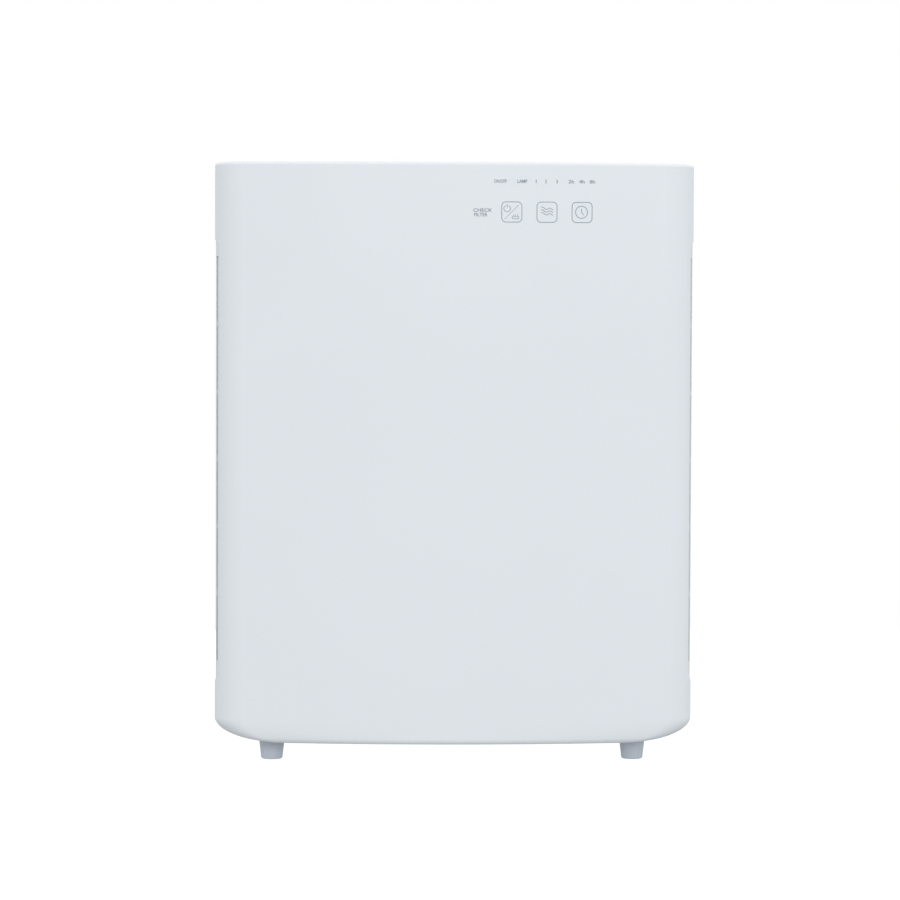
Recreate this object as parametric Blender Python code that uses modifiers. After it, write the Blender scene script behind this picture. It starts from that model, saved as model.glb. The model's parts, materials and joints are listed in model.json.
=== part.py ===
"""A slim upright air purifier: bowed front cover, filters fed by side slots, centrifugal fan, top outlet.

Metres, +Z up, front towards -Y. The origin is on the floor, under the middle of the object's box.
"""

import math

import bmesh
import bpy
from mathutils import Matrix, Vector

# Driving dimensions
WIDTH = 0.370
HEIGHT = 0.463
DEPTH = 0.178
BASE_HEIGHT = 0.017
CORNER_WIDTH, CORNER_RISE = 0.044, 0.0185
GAP = 0.0003
CLEARANCE = 0.001

# Depths, front to back
FRONT = -DEPTH / 2
BACK = DEPTH / 2
COVER_PARTING = -0.045
REAR_PARTING = 0.022

# Front cover
COVER_WALL = 0.0025
COVER_CORNER = 0.026
COVER_BOW = 1.43
COVER_BOTTOM_EDGE = 0.004
COVER_TOP_EDGE = 0.0027
NOTCH_FRONT = -0.0672
NOTCH_FRONT_LOW, NOTCH_FRONT_HIGH = 0.070, 0.400
NOTCH_REAR_LOW, NOTCH_REAR_HIGH = 0.053, 0.410
STUD_RADIUS = 0.0025
STUD_TIP = -0.038
STUD_PLACES = [(-0.168, 0.437), (0.168, 0.437), (-0.156, 0.036), (0.156, 0.036)]
SWITCH_PLACE = (-0.120, 0.437)
POST_TIP = -0.0505

# Housings
HOUSING_INSET = 0.0008
HOUSING_WALL = 0.0032
REAR_WALL = 0.0025
REAR_CORNER = 0.018
REAR_EDGE = 0.003
DECK = (-0.0445, -0.0410)
BULKHEAD = (0.0190, 0.0215)
SCREW_PLACES = [(side * 0.169, z) for side in (-1, 1) for z in (0.050, 0.240, 0.435)]
SCREW_HEAD_SEAT = 0.040

# Filter bay and the filters in it, as (front, back)
BAY_HALF = 0.1575
BAY_LOW, BAY_HIGH = 0.0445, 0.4110
BAY_WALL = 0.0022
BAY_FRONT = -0.062
PREFILTER = (-0.0620, -0.0570)
CARBON = (-0.0560, -0.0440)
HEPA = (-0.0425, -0.0075)
CATALYST = (-0.0070, 0.0010)
LEDGE = (0.0013, 0.0035)
PLEATS = 30

# Fan
FAN_X, FAN_Z = 0.0, 0.215
INLET_RADIUS = 0.085
WHEEL_RADIUS = 0.105
WHEEL_EYE = 0.0775
WHEEL = (0.0300, 0.0565)
BLADES = 9
SHAFT_RADIUS = 0.004
SCROLL = (0.0218, 0.0597)
SCROLL_WALL, SCROLL_BACK = 0.002, 0.0022
SCROLL_START, SCROLL_END = 0.112, 0.1515
SCROLL_TOP = 0.4545
MOTOR = (0.0602, 0.0855)
MOTOR_RADIUS = 0.040

# Outlet in the top
OUTLET_HALF = 0.150
OUTLET = (0.030, 0.068)
SLATS = 6
SLAT_TILT = math.radians(28)

# Controls
BUTTON_X = [0.0447, 0.0716, 0.0985]
BUTTON_Z = 0.4237
INDICATOR_Z = 0.4545
LIGHT_PIPE_X = [0.0360, 0.0525, 0.0630, 0.0713, 0.0797, 0.0905, 0.0989, 0.1070]
BOARD_FRONT = -0.0780

FOOT_X = 0.141
FOOT_Y = [-0.0355, 0.066]
FOOT_TOP_RADIUS, FOOT_BOTTOM_RADIUS = 0.0084, 0.0066

ROUND = 24
SMALL_ROUND = 16


# Scene, collections and materials


def clear_scene():
    for old in list(bpy.data.objects):
        bpy.data.objects.remove(old)


def new_collection(name):
    made = bpy.data.collections.new(name)
    bpy.context.scene.collection.children.link(made)
    return made


clear_scene()
PARTS = new_collection("air_purifier")
HELPERS = new_collection("cutters_and_joined_shapes")


def new_material(name, colour, roughness, metallic=0.0):
    made = bpy.data.materials.new(name)
    made.use_nodes = True
    shader = made.node_tree.nodes["Principled BSDF"]
    shader.inputs["Base Color"].default_value = (*colour, 1.0)
    shader.inputs["Roughness"].default_value = roughness
    shader.inputs["Metallic"].default_value = metallic
    return made


GLOSS_WHITE = new_material("gloss_white_abs", (0.80, 0.83, 0.85), 0.15)
SATIN_WHITE = new_material("satin_white_abs", (0.76, 0.79, 0.81), 0.35)
GREY_PLASTIC = new_material("grey_plastic", (0.48, 0.50, 0.54), 0.5)
DARK_PLASTIC = new_material("dark_plastic", (0.05, 0.05, 0.055), 0.5)
FILTER_PAPER = new_material("filter_paper", (0.85, 0.86, 0.86), 0.9)
CARBON_BLACK = new_material("activated_carbon", (0.03, 0.03, 0.03), 0.9)
CATALYST_COAT = new_material("catalyst_coating", (0.62, 0.68, 0.70), 0.7)
CARD = new_material("filter_card", (0.70, 0.72, 0.74), 0.8)
RUBBER = new_material("grey_rubber", (0.45, 0.47, 0.52), 0.7)
STEEL = new_material("steel", (0.60, 0.61, 0.62), 0.3, 1.0)
BRASS = new_material("brass", (0.75, 0.60, 0.30), 0.3, 1.0)
GLASS = new_material("lamp_glass", (0.75, 0.82, 0.90), 0.05)
CIRCUIT = new_material("circuit_board", (0.05, 0.22, 0.12), 0.5)
LABEL = new_material("label_film", (0.70, 0.71, 0.72), 0.4)
FABRIC = new_material("tab_fabric", (0.15, 0.30, 0.55), 0.9)


# Modelling tools


def add(name, mesh, material, helper=False):
    obj = bpy.data.objects.new(name, mesh)
    (HELPERS if helper else PARTS).objects.link(obj)
    if helper:
        obj.hide_render = True
        obj.display_type = "WIRE"
    else:
        mesh.materials.append(material)
    return obj


def mesh_from(name, bm):
    mesh = bpy.data.meshes.new(name)
    bm.to_mesh(mesh)
    bm.free()
    return mesh


def box(name, x, y, z, material=None, bevel=0.0, helper=False):
    """A box between three (low, high) pairs, with its origin in its middle."""
    size = [high - low for low, high in (x, y, z)]
    bm = bmesh.new()
    bmesh.ops.create_cube(bm, size=1.0, matrix=Matrix.Diagonal((*size, 1.0)))
    obj = add(name, mesh_from(name, bm), material, helper)
    obj.location = [(low + high) / 2 for low, high in (x, y, z)]
    if bevel:
        modifier = obj.modifiers.new("edges", "BEVEL")
        modifier.width = bevel
        modifier.segments = 2
    return obj


def cylinder_mesh(name, length, radius, top_radius=None, sides=SMALL_ROUND):
    """A closed cylinder or cone along Z about its middle."""
    bm = bmesh.new()
    upper = radius if top_radius is None else top_radius
    bmesh.ops.create_cone(bm, cap_ends=True, segments=sides, radius1=radius, radius2=upper, depth=length)
    return mesh_from(name, bm)


def round_bar(name, x, z, y, radius, material=None, sides=SMALL_ROUND, helper=False):
    """A cylinder along Y between the (front, back) pair y."""
    obj = add(name, cylinder_mesh(name, y[1] - y[0], radius, sides=sides), material, helper)
    obj.rotation_euler = (math.pi / 2, 0, 0)
    obj.location = (x, (y[0] + y[1]) / 2, z)
    return obj


def smooth(obj, degrees=35):
    obj.data.shade_smooth()
    obj.data.set_sharp_from_angle(angle=math.radians(degrees))
    return obj


def outline_mesh(name, outlines, thickness):
    """A flat outline, with any further outlines as holes in it, made thick."""
    curve = bpy.data.curves.new(name, "CURVE")
    curve.dimensions = "2D"
    curve.fill_mode = "BOTH"
    curve.extrude = thickness / 2
    for points in outlines:
        spline = curve.splines.new("POLY")
        spline.points.add(len(points) - 1)
        for place, (u, v) in zip(spline.points, points):
            place.co = (u, v, 0, 1)
        spline.use_cyclic_u = True
    drawn = bpy.data.objects.new(name + "_outline", curve)
    HELPERS.objects.link(drawn)
    graph = bpy.context.evaluated_depsgraph_get()
    mesh = bpy.data.meshes.new_from_object(drawn.evaluated_get(graph))
    bpy.data.objects.remove(drawn)
    bm = bmesh.new()
    bm.from_mesh(mesh)
    bmesh.ops.remove_doubles(bm, verts=bm.verts, dist=1e-6)
    bmesh.ops.recalc_face_normals(bm, faces=bm.faces)
    if bm.calc_volume(signed=True) < 0:
        bmesh.ops.reverse_faces(bm, faces=bm.faces)
    bm.to_mesh(mesh)
    bm.free()
    return mesh


def plate(name, outlines, y, material=None, helper=False):
    """Outlines of (x, z) points, standing up and thickened between the (front, back) pair y."""
    obj = add(name, outline_mesh(name, outlines, y[1] - y[0]), material, helper)
    obj.rotation_euler = (math.pi / 2, 0, 0)
    obj.location = (0, (y[0] + y[1]) / 2, 0)
    return obj


def slab(name, outlines, z, material=None, helper=False):
    """Outlines of (x, y) points, lying flat and thickened between the (low, high) pair z."""
    obj = add(name, outline_mesh(name, outlines, z[1] - z[0]), material, helper)
    obj.location = (0, 0, (z[0] + z[1]) / 2)
    return obj


def side_plate(name, outline, x, material=None, helper=False):
    """An outline of (y, z) points, facing sideways and thickened between the (low, high) pair x."""
    obj = add(name, outline_mesh(name, [outline], x[1] - x[0]), material, helper)
    obj.rotation_euler = (math.pi / 2, 0, math.pi / 2)
    obj.location = ((x[0] + x[1]) / 2, 0, 0)
    return obj


def turned(name, profile, x, z, material=None, closed=True, sides=ROUND, helper=False):
    """A (radius, y) profile turned about a line along Y. It runs from back to front on its outer side."""
    profile = profile[::-1]
    count = len(profile)
    edges = [(i, (i + 1) % count) for i in range(count if closed else count - 1)]
    mesh = bpy.data.meshes.new(name)
    mesh.from_pydata([(radius, 0, -y) for radius, y in profile], edges, [])
    obj = add(name, mesh, material, helper)
    obj.rotation_euler = (math.pi / 2, 0, 0)
    obj.location = (x, 0, z)
    screw = obj.modifiers.new("turn", "SCREW")
    screw.steps = screw.render_steps = sides
    screw.use_merge_vertices = True
    screw.merge_threshold = 1e-5
    return obj


def boolean(obj, tool, operation):
    modifier = obj.modifiers.new(operation.lower() + "_" + tool.name, "BOOLEAN")
    modifier.operation = operation
    modifier.object = tool


def cut(obj, *tools):
    for tool in tools:
        boolean(obj, tool, "DIFFERENCE")


def join(obj, *tools):
    for tool in tools:
        boolean(obj, tool, "UNION")


def arc(u, v, radius, start, end, steps):
    """Points on an arc about (u, v), from one angle to another in degrees."""
    angles = [math.radians(start + (end - start) * i / steps) for i in range(steps + 1)]
    return [(u + radius * math.cos(a), v + radius * math.sin(a)) for a in angles]


def circle(u, v, radius, sides=SMALL_ROUND):
    return arc(u, v, radius, 0, 360, sides)[:-1]


def rectangle(half, low, high):
    return [(-half, low), (half, low), (half, high), (-half, high)]


def corner_curve(inset=0.0, steps=8):
    """(rise, distance in from the side) up a bottom corner, a quarter ellipse wider than it is high."""
    angles = [math.pi / 2 * i / steps for i in range(steps + 1)]
    rise, width = CORNER_RISE - inset, CORNER_WIDTH - inset
    return [(rise * (1 - math.cos(a)), width * (1 - math.sin(a))) for a in angles]


def body_outline(inset):
    """The body seen from the front, drawn in by inset: round bottom corners and nearly square top ones."""
    half = WIDTH / 2 - inset
    low, high = BASE_HEIGHT + inset, HEIGHT - inset
    corner = corner_curve(inset)
    top = max(COVER_TOP_EDGE - inset, 0.0006)
    return (
        [(-half + side, low + rise) for rise, side in reversed(corner)]
        + [(half - side, low + rise) for rise, side in corner]
        + arc(half - top, high - top, top, 0, 90, 2)
        + arc(-half + top, high - top, top, 90, 180, 2)
    )


# Trays: the front cover and the rear housing are both a curved face with a skirt behind it


def tray_plan(half, corner, bow, depth, inset=0.0):
    """The tray from above, as (x, distance behind the face), from one skirt edge to the other."""
    middle = half - corner
    lean = math.asin(middle / (bow - corner)) if bow else 0.0
    corner_depth = bow - (bow - corner) * math.cos(lean) if bow else corner
    radius = corner - inset
    steps = 7
    side = [(middle + radius, depth)]
    for i in range(steps + 1):
        a = math.pi / 2 + (lean - math.pi / 2) * i / steps
        side.append((middle + radius * math.sin(a), corner_depth - radius * math.cos(a)))
    face = []
    if bow:
        count = 6
        for i in range(1, count):
            a = lean * (1 - i / count)
            face.append(((bow - inset) * math.sin(a), bow - (bow - inset) * math.cos(a)))
        face.append((0.0, inset))
    right = side + face
    left = [(-x, d) for x, d in reversed(right) if x > 0]
    return right + left


def tray_rings(inset, bottom_edge, top_edge):
    """(height, side inset, face inset) of each ring from the bottom up, all drawn in by inset."""
    low, high = BASE_HEIGHT + inset, HEIGHT - inset
    rings = []
    for rise, side in corner_curve(inset):
        left_to_edge = max(bottom_edge - rise, 0.0)
        face = bottom_edge - math.sqrt(bottom_edge**2 - left_to_edge**2) if bottom_edge else 0.0
        rings.append((low + rise, side, face))
    if not top_edge:
        return rings + [(high, 0.0, 0.0)]
    steps = 3
    for i in range(steps + 1):
        a = i / steps * math.pi / 2
        eased = top_edge * (1 - math.cos(a))
        rings.append((high - top_edge * (1 - math.sin(a)), eased, eased))
    return rings


def tray_block(name, plan, rings, half, face_y, towards_back, material=None, helper=False):
    """A solid block lofted through the plan at each ring, with the face at face_y."""
    deepest = max(depth for _, depth in plan)
    bm = bmesh.new()
    loops = []
    for height, side_inset, face_inset in rings:
        squeeze = (half - side_inset) / half
        loop = []
        for x, depth in plan:
            back = min(depth + face_inset, deepest)
            loop.append(bm.verts.new((x * squeeze, face_y + towards_back * back, height)))
        loops.append(loop)
    for lower, upper in zip(loops, loops[1:]):
        for i in range(len(plan)):
            j = (i + 1) % len(plan)
            bm.faces.new((lower[i], lower[j], upper[j], upper[i]))
    bm.faces.new(loops[0])
    bm.faces.new(loops[-1])
    bmesh.ops.recalc_face_normals(bm, faces=bm.faces)
    return add(name, mesh_from(name, bm), material, helper)


def cover_plan(depth, inset=0.0):
    return tray_plan(WIDTH / 2, COVER_CORNER, COVER_BOW, depth, inset)


def cover_inner_y(x):
    """Where the cover's inner face is, at a distance x from the middle."""
    plan = cover_plan(COVER_PARTING - FRONT, COVER_WALL)
    right = sorted((px, d) for px, d in plan if px >= 0 and d < COVER_PARTING - FRONT)
    for (x0, d0), (x1, d1) in zip(right, right[1:]):
        if x0 <= x <= x1:
            return FRONT + d0 + (d1 - d0) * (x - x0) / (x1 - x0)
    raise ValueError(x)


def notch_outline(grow=0.0):
    """The long side notch seen from the side, as (y, z): shorter at the front edge, with eased corners."""
    back = COVER_PARTING + 0.010
    front = NOTCH_FRONT - grow
    ease = 0.003
    return [
        (back, NOTCH_REAR_LOW - grow),
        (COVER_PARTING, NOTCH_REAR_LOW - grow),
        (front + ease, NOTCH_FRONT_LOW - ease - grow),
        (front, NOTCH_FRONT_LOW + ease - grow),
        (front, NOTCH_FRONT_HIGH - ease + grow),
        (front + ease, NOTCH_FRONT_HIGH + ease + grow),
        (COVER_PARTING, NOTCH_REAR_HIGH + grow),
        (back, NOTCH_REAR_HIGH + grow),
    ]


def build_front_cover():
    half = WIDTH / 2
    depth = COVER_PARTING - GAP - FRONT
    rings = tray_rings(0.0, COVER_BOTTOM_EDGE, COVER_TOP_EDGE)
    cover = tray_block("front_cover", cover_plan(depth), rings, half, FRONT, 1, GLOSS_WHITE)
    inner = tray_rings(COVER_WALL, 0.0015, 0.0)
    cavity_plan = cover_plan(depth + 0.006, COVER_WALL)
    cavity = tray_block("cover_cavity", cavity_plan, inner, half - COVER_WALL, FRONT, 1, helper=True)
    cut(cover, cavity)
    for side, sign in (("left", -1), ("right", 1)):
        reach = sorted((sign * 0.150, sign * 0.200))
        cut(cover, side_plate(f"cover_notch_{side}", notch_outline(), reach, helper=True))
    for i, (x, z) in enumerate(STUD_PLACES):
        root = cover_inner_y(abs(x)) - 0.0008
        stud = round_bar(f"cover_stud_{i}", x, z, (root, STUD_TIP), STUD_RADIUS, sides=12, helper=True)
        join(cover, stud)
    x, z = SWITCH_PLACE
    root = cover_inner_y(abs(x)) - 0.0008
    join(cover, round_bar("cover_switch_post", x, z, (root, POST_TIP), 0.002, sides=12, helper=True))
    return smooth(cover)


def build_intake_grille(side, sign):
    """The slotted strip that closes the notch, following the cover's corner a little further in."""
    centre = WIDTH / 2 - COVER_CORNER
    centre_y = FRONT + COVER_BOW - (COVER_BOW - COVER_CORNER) * math.cos(
        math.asin(centre / (COVER_BOW - COVER_CORNER))
    )
    outer = COVER_CORNER - HOUSING_INSET
    thick = 0.0022
    end = COVER_PARTING - GAP
    steps = 5
    first = -38

    def bend(radius):
        return arc(centre, centre_y, radius, first, 0, steps)

    outline = bend(outer) + [(centre + outer, end), (centre + outer - thick, end)]
    outline += reversed(bend(outer - thick))
    strip = slab(
        f"intake_grille_{side}",
        [[(sign * x, y) for x, y in outline]],
        (NOTCH_REAR_LOW + CLEARANCE, NOTCH_REAR_HIGH - CLEARANCE),
        SATIN_WHITE,
    )
    trim = side_plate(f"grille_trim_{side}", notch_outline(-CLEARANCE), (-0.2, 0.2), helper=True)
    boolean(strip, trim, "INTERSECT")
    rows = 6
    low, high = NOTCH_FRONT_LOW + 0.008, NOTCH_FRONT_HIGH - 0.008
    rib = 0.005
    pitch = (high - low + rib) / rows
    for column, y in enumerate(((-0.0640, -0.0600), (-0.0570, -0.0530), (-0.0505, -0.0470))):
        slots = box(
            f"grille_slots_{side}_{column}",
            sorted((sign * 0.170, sign * 0.190)),
            y,
            (low, low + pitch - rib),
            helper=True,
        )
        repeat = slots.modifiers.new("rows", "ARRAY")
        repeat.count = rows
        repeat.use_relative_offset = False
        repeat.use_constant_offset = True
        repeat.constant_offset_displace = (0, 0, pitch)
        cut(strip, slots)
    return strip


def build_middle_housing():
    outer_ring = [body_outline(HOUSING_INSET), body_outline(HOUSING_INSET + HOUSING_WALL)]
    housing = plate("middle_housing", outer_ring, (COVER_PARTING, REAR_PARTING), SATIN_WHITE)

    bay_middle = rectangle(BAY_HALF + BAY_WALL / 2, BAY_LOW - BAY_WALL / 2, BAY_HIGH + BAY_WALL / 2)
    stud_holes = [circle(x, z, 0.0046) for x, z in STUD_PLACES]
    switch_hole = circle(*SWITCH_PLACE, 0.0022, 12)
    middle_of_wall = body_outline(HOUSING_INSET + HOUSING_WALL / 2)
    deck = [middle_of_wall, bay_middle, switch_hole, *stud_holes]
    join(housing, plate("housing_deck", deck, DECK, helper=True))

    bay_outer = rectangle(BAY_HALF + BAY_WALL, BAY_LOW - BAY_WALL, BAY_HIGH + BAY_WALL)
    bay_inner = rectangle(BAY_HALF, BAY_LOW, BAY_HIGH)
    bay_y = (BAY_FRONT, (BULKHEAD[0] + BULKHEAD[1]) / 2)
    join(housing, plate("housing_bay", [bay_outer, bay_inner], bay_y, helper=True))

    ledge = 0.006
    ledge_inner = rectangle(BAY_HALF - ledge, BAY_LOW + ledge, BAY_HIGH - ledge)
    join(housing, plate("housing_ledge", [bay_middle, ledge_inner], LEDGE, helper=True))

    wall = [middle_of_wall, circle(FAN_X, FAN_Z, INLET_RADIUS, ROUND)]
    join(housing, plate("housing_bulkhead", wall, BULKHEAD, helper=True))
    for i, (x, z) in enumerate(SCREW_PLACES):
        boss = round_bar(f"housing_boss_{i}", x, z, (0.0080, 0.0200), 0.0048, sides=10, helper=True)
        pilot = round_bar(f"housing_pilot_{i}", x, z, (0.0050, 0.0250), 0.0019, sides=8, helper=True)
        join(housing, boss)
        cut(housing, pilot)
    return housing


def build_rear_housing():
    half = WIDTH / 2 - HOUSING_INSET
    depth = BACK - REAR_PARTING - GAP
    plan = tray_plan(half, REAR_CORNER, None, depth)
    rings = tray_rings(HOUSING_INSET, REAR_EDGE, 0.0012)
    shell = tray_block("rear_housing", plan, rings, half, BACK, -1, SATIN_WHITE)
    inner_plan = tray_plan(half, REAR_CORNER, None, depth + 0.006, REAR_WALL)
    inner = tray_rings(HOUSING_INSET + REAR_WALL, 0.0, 0.0)
    cavity = tray_block("rear_cavity", inner_plan, inner, half - REAR_WALL, BACK, -1, helper=True)
    cut(shell, cavity)

    boss_y = (REAR_PARTING + GAP, BACK - REAR_WALL / 2)
    head_y = (SCREW_HEAD_SEAT, BACK + 0.002)
    thread_y = (REAR_PARTING - 0.002, SCREW_HEAD_SEAT + 0.005)
    for i, (x, z) in enumerate(SCREW_PLACES):
        boss = round_bar(f"rear_boss_{i}", x, z, boss_y, 0.0058, sides=12, helper=True)
        counterbore = round_bar(f"rear_counterbore_{i}", x, z, head_y, 0.0043, sides=12, helper=True)
        through = round_bar(f"rear_screw_hole_{i}", x, z, thread_y, 0.0021, sides=8, helper=True)
        join(shell, boss)
        cut(shell, counterbore, through)

    cut(
        shell,
        box("outlet_opening", (-0.1505, 0.1505), (0.0295, 0.0685), (0.450, 0.470), helper=True),
        box("handle_opening", (-0.0605, 0.0605), (0.080, 0.095), (0.3695, 0.4205), helper=True),
        box("inlet_opening", (0.1275, 0.1525), (0.080, 0.095), (0.0495, 0.0655), helper=True),
        box("label_recess", (-0.0405, 0.0405), (BACK - 0.0009, 0.095), (0.0595, 0.1105), helper=True),
    )
    return smooth(shell)


def build_handle_cup():
    """A moulded pocket that the fingers go into, clipped in the back."""
    cup = box("handle_cup", (-0.060, 0.060), (0.0630, 0.0888), (0.370, 0.420), SATIN_WHITE)
    cut(cup, box("handle_pocket", (-0.057, 0.057), (0.0652, 0.095), (0.373, 0.417), helper=True))
    rim = box("handle_rim", (-0.0635, 0.0635), (0.0838, 0.0862), (0.3665, 0.4235), helper=True)
    cut(rim, box("handle_rim_hole", (-0.059, 0.059), (0.080, 0.090), (0.371, 0.419), helper=True))
    join(cup, rim)
    return cup


def build_top_grille():
    top = HEIGHT - HOUSING_INSET
    low = 0.4558
    front, back = OUTLET
    frame_outline = [
        [(-OUTLET_HALF, front), (OUTLET_HALF, front), (OUTLET_HALF, back), (-OUTLET_HALF, back)],
        [
            (-OUTLET_HALF + 0.002, front + 0.002),
            (OUTLET_HALF - 0.002, front + 0.002),
            (OUTLET_HALF - 0.002, back - 0.002),
            (-OUTLET_HALF + 0.002, back - 0.002),
        ],
    ]
    grille = slab("top_grille", frame_outline, (low, top), SATIN_WHITE)
    pitch = (back - front - 0.004) / SLATS
    for i in range(SLATS):
        slat = box(
            f"slat_{i}",
            (-OUTLET_HALF + 0.001, OUTLET_HALF - 0.001),
            (-0.0007, 0.0007),
            (-0.0027, 0.0027),
            helper=True,
        )
        slat.location.y = front + 0.002 + (i + 0.5) * pitch
        slat.location.z = (low + top) / 2
        slat.rotation_euler.x = SLAT_TILT
        join(grille, slat)
    rib_y = (front + 0.001, back - 0.001)
    rib_z = (low + 0.0005, top - 0.0012)
    for i, x in enumerate((-0.090, -0.030, 0.030, 0.090)):
        join(grille, box(f"outlet_rib_{i}", (x - 0.001, x + 0.001), rib_y, rib_z, helper=True))
    return grille


def build_feet():
    for depth, y in zip(("front", "rear"), FOOT_Y):
        for side, sign in (("left", -1), ("right", 1)):
            height = BASE_HEIGHT + HOUSING_INSET - GAP
            name = f"foot_{depth}_{side}"
            mesh = cylinder_mesh(name, height, FOOT_BOTTOM_RADIUS, FOOT_TOP_RADIUS, ROUND)
            foot = add(name, mesh, RUBBER)
            foot.location = (sign * FOOT_X, y, height / 2)
            rounded = foot.modifiers.new("edges", "BEVEL")
            rounded.width = 0.0010
            rounded.segments = 1
            smooth(foot)


# Filters


def filter_rectangle(border):
    half = BAY_HALF - CLEARANCE - border
    return rectangle(half, BAY_LOW + CLEARANCE + border, BAY_HIGH - CLEARANCE - border)


def pleat_outline(half):
    """The folded paper seen from above: a zigzag of one thickness, from side to side of the frame."""
    front, back = HEPA[0] + 0.001, HEPA[1] - 0.001
    run = half / PLEATS
    nib = 0.00045
    inside = nib * (back - front) / run
    near = [(-half, front), (-half + nib, front)]
    far = [(-half, front + inside)]
    for i in range(PLEATS):
        fold = -half + (2 * i + 1) * run
        valley = fold + run
        last = i == PLEATS - 1
        near += [(fold, back - inside), (valley - nib, front)]
        near += [(valley, front)] if last else [(valley + nib, front)]
        far += [(fold - nib, back), (fold + nib, back), (valley, front + inside)]
    return near + far[::-1]


def build_filters():
    border = 0.010
    outlines = [filter_rectangle(0), filter_rectangle(border)]
    prefilter = plate("prefilter_frame", outlines, PREFILTER, GREY_PLASTIC)
    bar_y = (PREFILTER[0] + 0.0003, PREFILTER[0] + 0.0022)
    bar_half = 0.0015
    bar_x = (-BAY_HALF + border / 2, BAY_HALF - border / 2)
    bar_z = (BAY_LOW + border / 2, BAY_HIGH - border / 2)
    for i, x in enumerate((-0.052, 0.052)):
        join(prefilter, box(f"prefilter_bar_{i}", (x - bar_half, x + bar_half), bar_y, bar_z, helper=True))
    for i, z in enumerate((0.136, 0.228, 0.320)):
        rail_z = (z - bar_half, z + bar_half)
        join(prefilter, box(f"prefilter_rail_{i}", bar_x, bar_y, rail_z, helper=True))
    mesh_y = (bar_y[1] + GAP, PREFILTER[1] - 0.0014)
    plate("prefilter_mesh", [filter_rectangle(border + GAP)], mesh_y, DARK_PLASTIC)

    card = 0.004
    plate("carbon_frame", [filter_rectangle(0), filter_rectangle(card)], CARBON, CARD)
    carbon_y = (CARBON[0] + 0.002, CARBON[1] - 0.002)
    plate("carbon_honeycomb", [filter_rectangle(card + GAP)], carbon_y, CARBON_BLACK)

    plate("hepa_frame", [filter_rectangle(0), filter_rectangle(card)], HEPA, CARD)
    low, high = BAY_LOW + CLEARANCE + card + GAP, BAY_HIGH - CLEARANCE - card - GAP
    slab("hepa_pleats", [pleat_outline(BAY_HALF - CLEARANCE - card - GAP)], (low, high), FILTER_PAPER)
    tab_y = (HEPA[0] - GAP - 0.0005, HEPA[0] - GAP)
    box("hepa_pull_tab", (-0.012, 0.012), tab_y, (0.345, 0.400), FABRIC)

    plate("catalyst_frame", [filter_rectangle(0), filter_rectangle(card)], CATALYST, CARD)
    honeycomb_y = (CATALYST[0] + 0.0015, CATALYST[1] - 0.0015)
    plate("catalyst_honeycomb", [filter_rectangle(card + GAP)], honeycomb_y, CATALYST_COAT)


# Fan, motor and duct


def spiral_path():
    """The scroll's wall as (x, z): down the duct's right side, clockwise round the wheel, up the left."""
    tongue, finish = 72.0, -180.0
    steps = 26
    path = [(SCROLL_END, SCROLL_TOP), (0.100, 0.382)]
    for i in range(steps + 1):
        share = i / steps
        angle = math.radians(tongue + (finish - tongue) * share)
        radius = SCROLL_START + (SCROLL_END - SCROLL_START) * share
        path.append((FAN_X + radius * math.cos(angle), FAN_Z + radius * math.sin(angle)))
    path.append((-SCROLL_END, SCROLL_TOP))
    return path


def build_scroll():
    """One bent wall with a back plate that carries the motor."""
    path = spiral_path()
    bm = bmesh.new()
    rows = [[bm.verts.new((x, y, z)) for x, z in path] for y in (SCROLL[0], SCROLL[1] - SCROLL_BACK / 2)]
    for i in range(len(path) - 1):
        bm.faces.new((rows[0][i], rows[0][i + 1], rows[1][i + 1], rows[1][i]))
    scroll = add("fan_scroll", mesh_from("fan_scroll", bm), SATIN_WHITE)
    wall = scroll.modifiers.new("wall", "SOLIDIFY")
    wall.thickness = SCROLL_WALL
    wall.offset = 0.0
    wall.use_even_offset = True
    back_y = (SCROLL[1] - SCROLL_BACK, SCROLL[1])
    join(scroll, plate("scroll_back", [path, circle(FAN_X, FAN_Z, 0.012)], back_y, helper=True))
    return scroll


def build_inlet_ring():
    """The bell mouth that leads the air into the wheel's eye."""
    mouth = [(0.0850, 0.0238), (0.0790, 0.0258), (0.0755, 0.0290), (0.0745, 0.0318)]
    profile = [(0.0920, 0.0238), (0.0920, 0.0218), (0.0840, 0.0218)]
    profile += [(radius - 0.0018, y - 0.0004) for radius, y in mouth[1:]]
    profile += list(reversed(mouth))
    return smooth(turned("inlet_ring", profile, FAN_X, FAN_Z, SATIN_WHITE, sides=ROUND))


def blade_outline():
    """One backward-curved blade seen from the front, a thin arc from the eye to the rim."""
    steps = 5
    thick = 0.0018
    inner, outer = 0.068, WHEEL_RADIUS - 0.001
    middle = []
    for i in range(steps + 1):
        radius = inner + (outer - inner) * i / steps
        angle = math.radians(-34 * (i / steps) ** 0.9)
        middle.append(Vector((radius * math.cos(angle), radius * math.sin(angle))))
    edges = []
    for sign in (1, -1):
        edge = []
        for i, point in enumerate(middle):
            along = middle[min(i + 1, steps)] - middle[max(i - 1, 0)]
            across = Vector((-along.y, along.x)).normalized()
            edge.append(tuple(point + across * sign * thick / 2))
        edges.append(edge)
    return edges[1] + edges[0][::-1]


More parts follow.
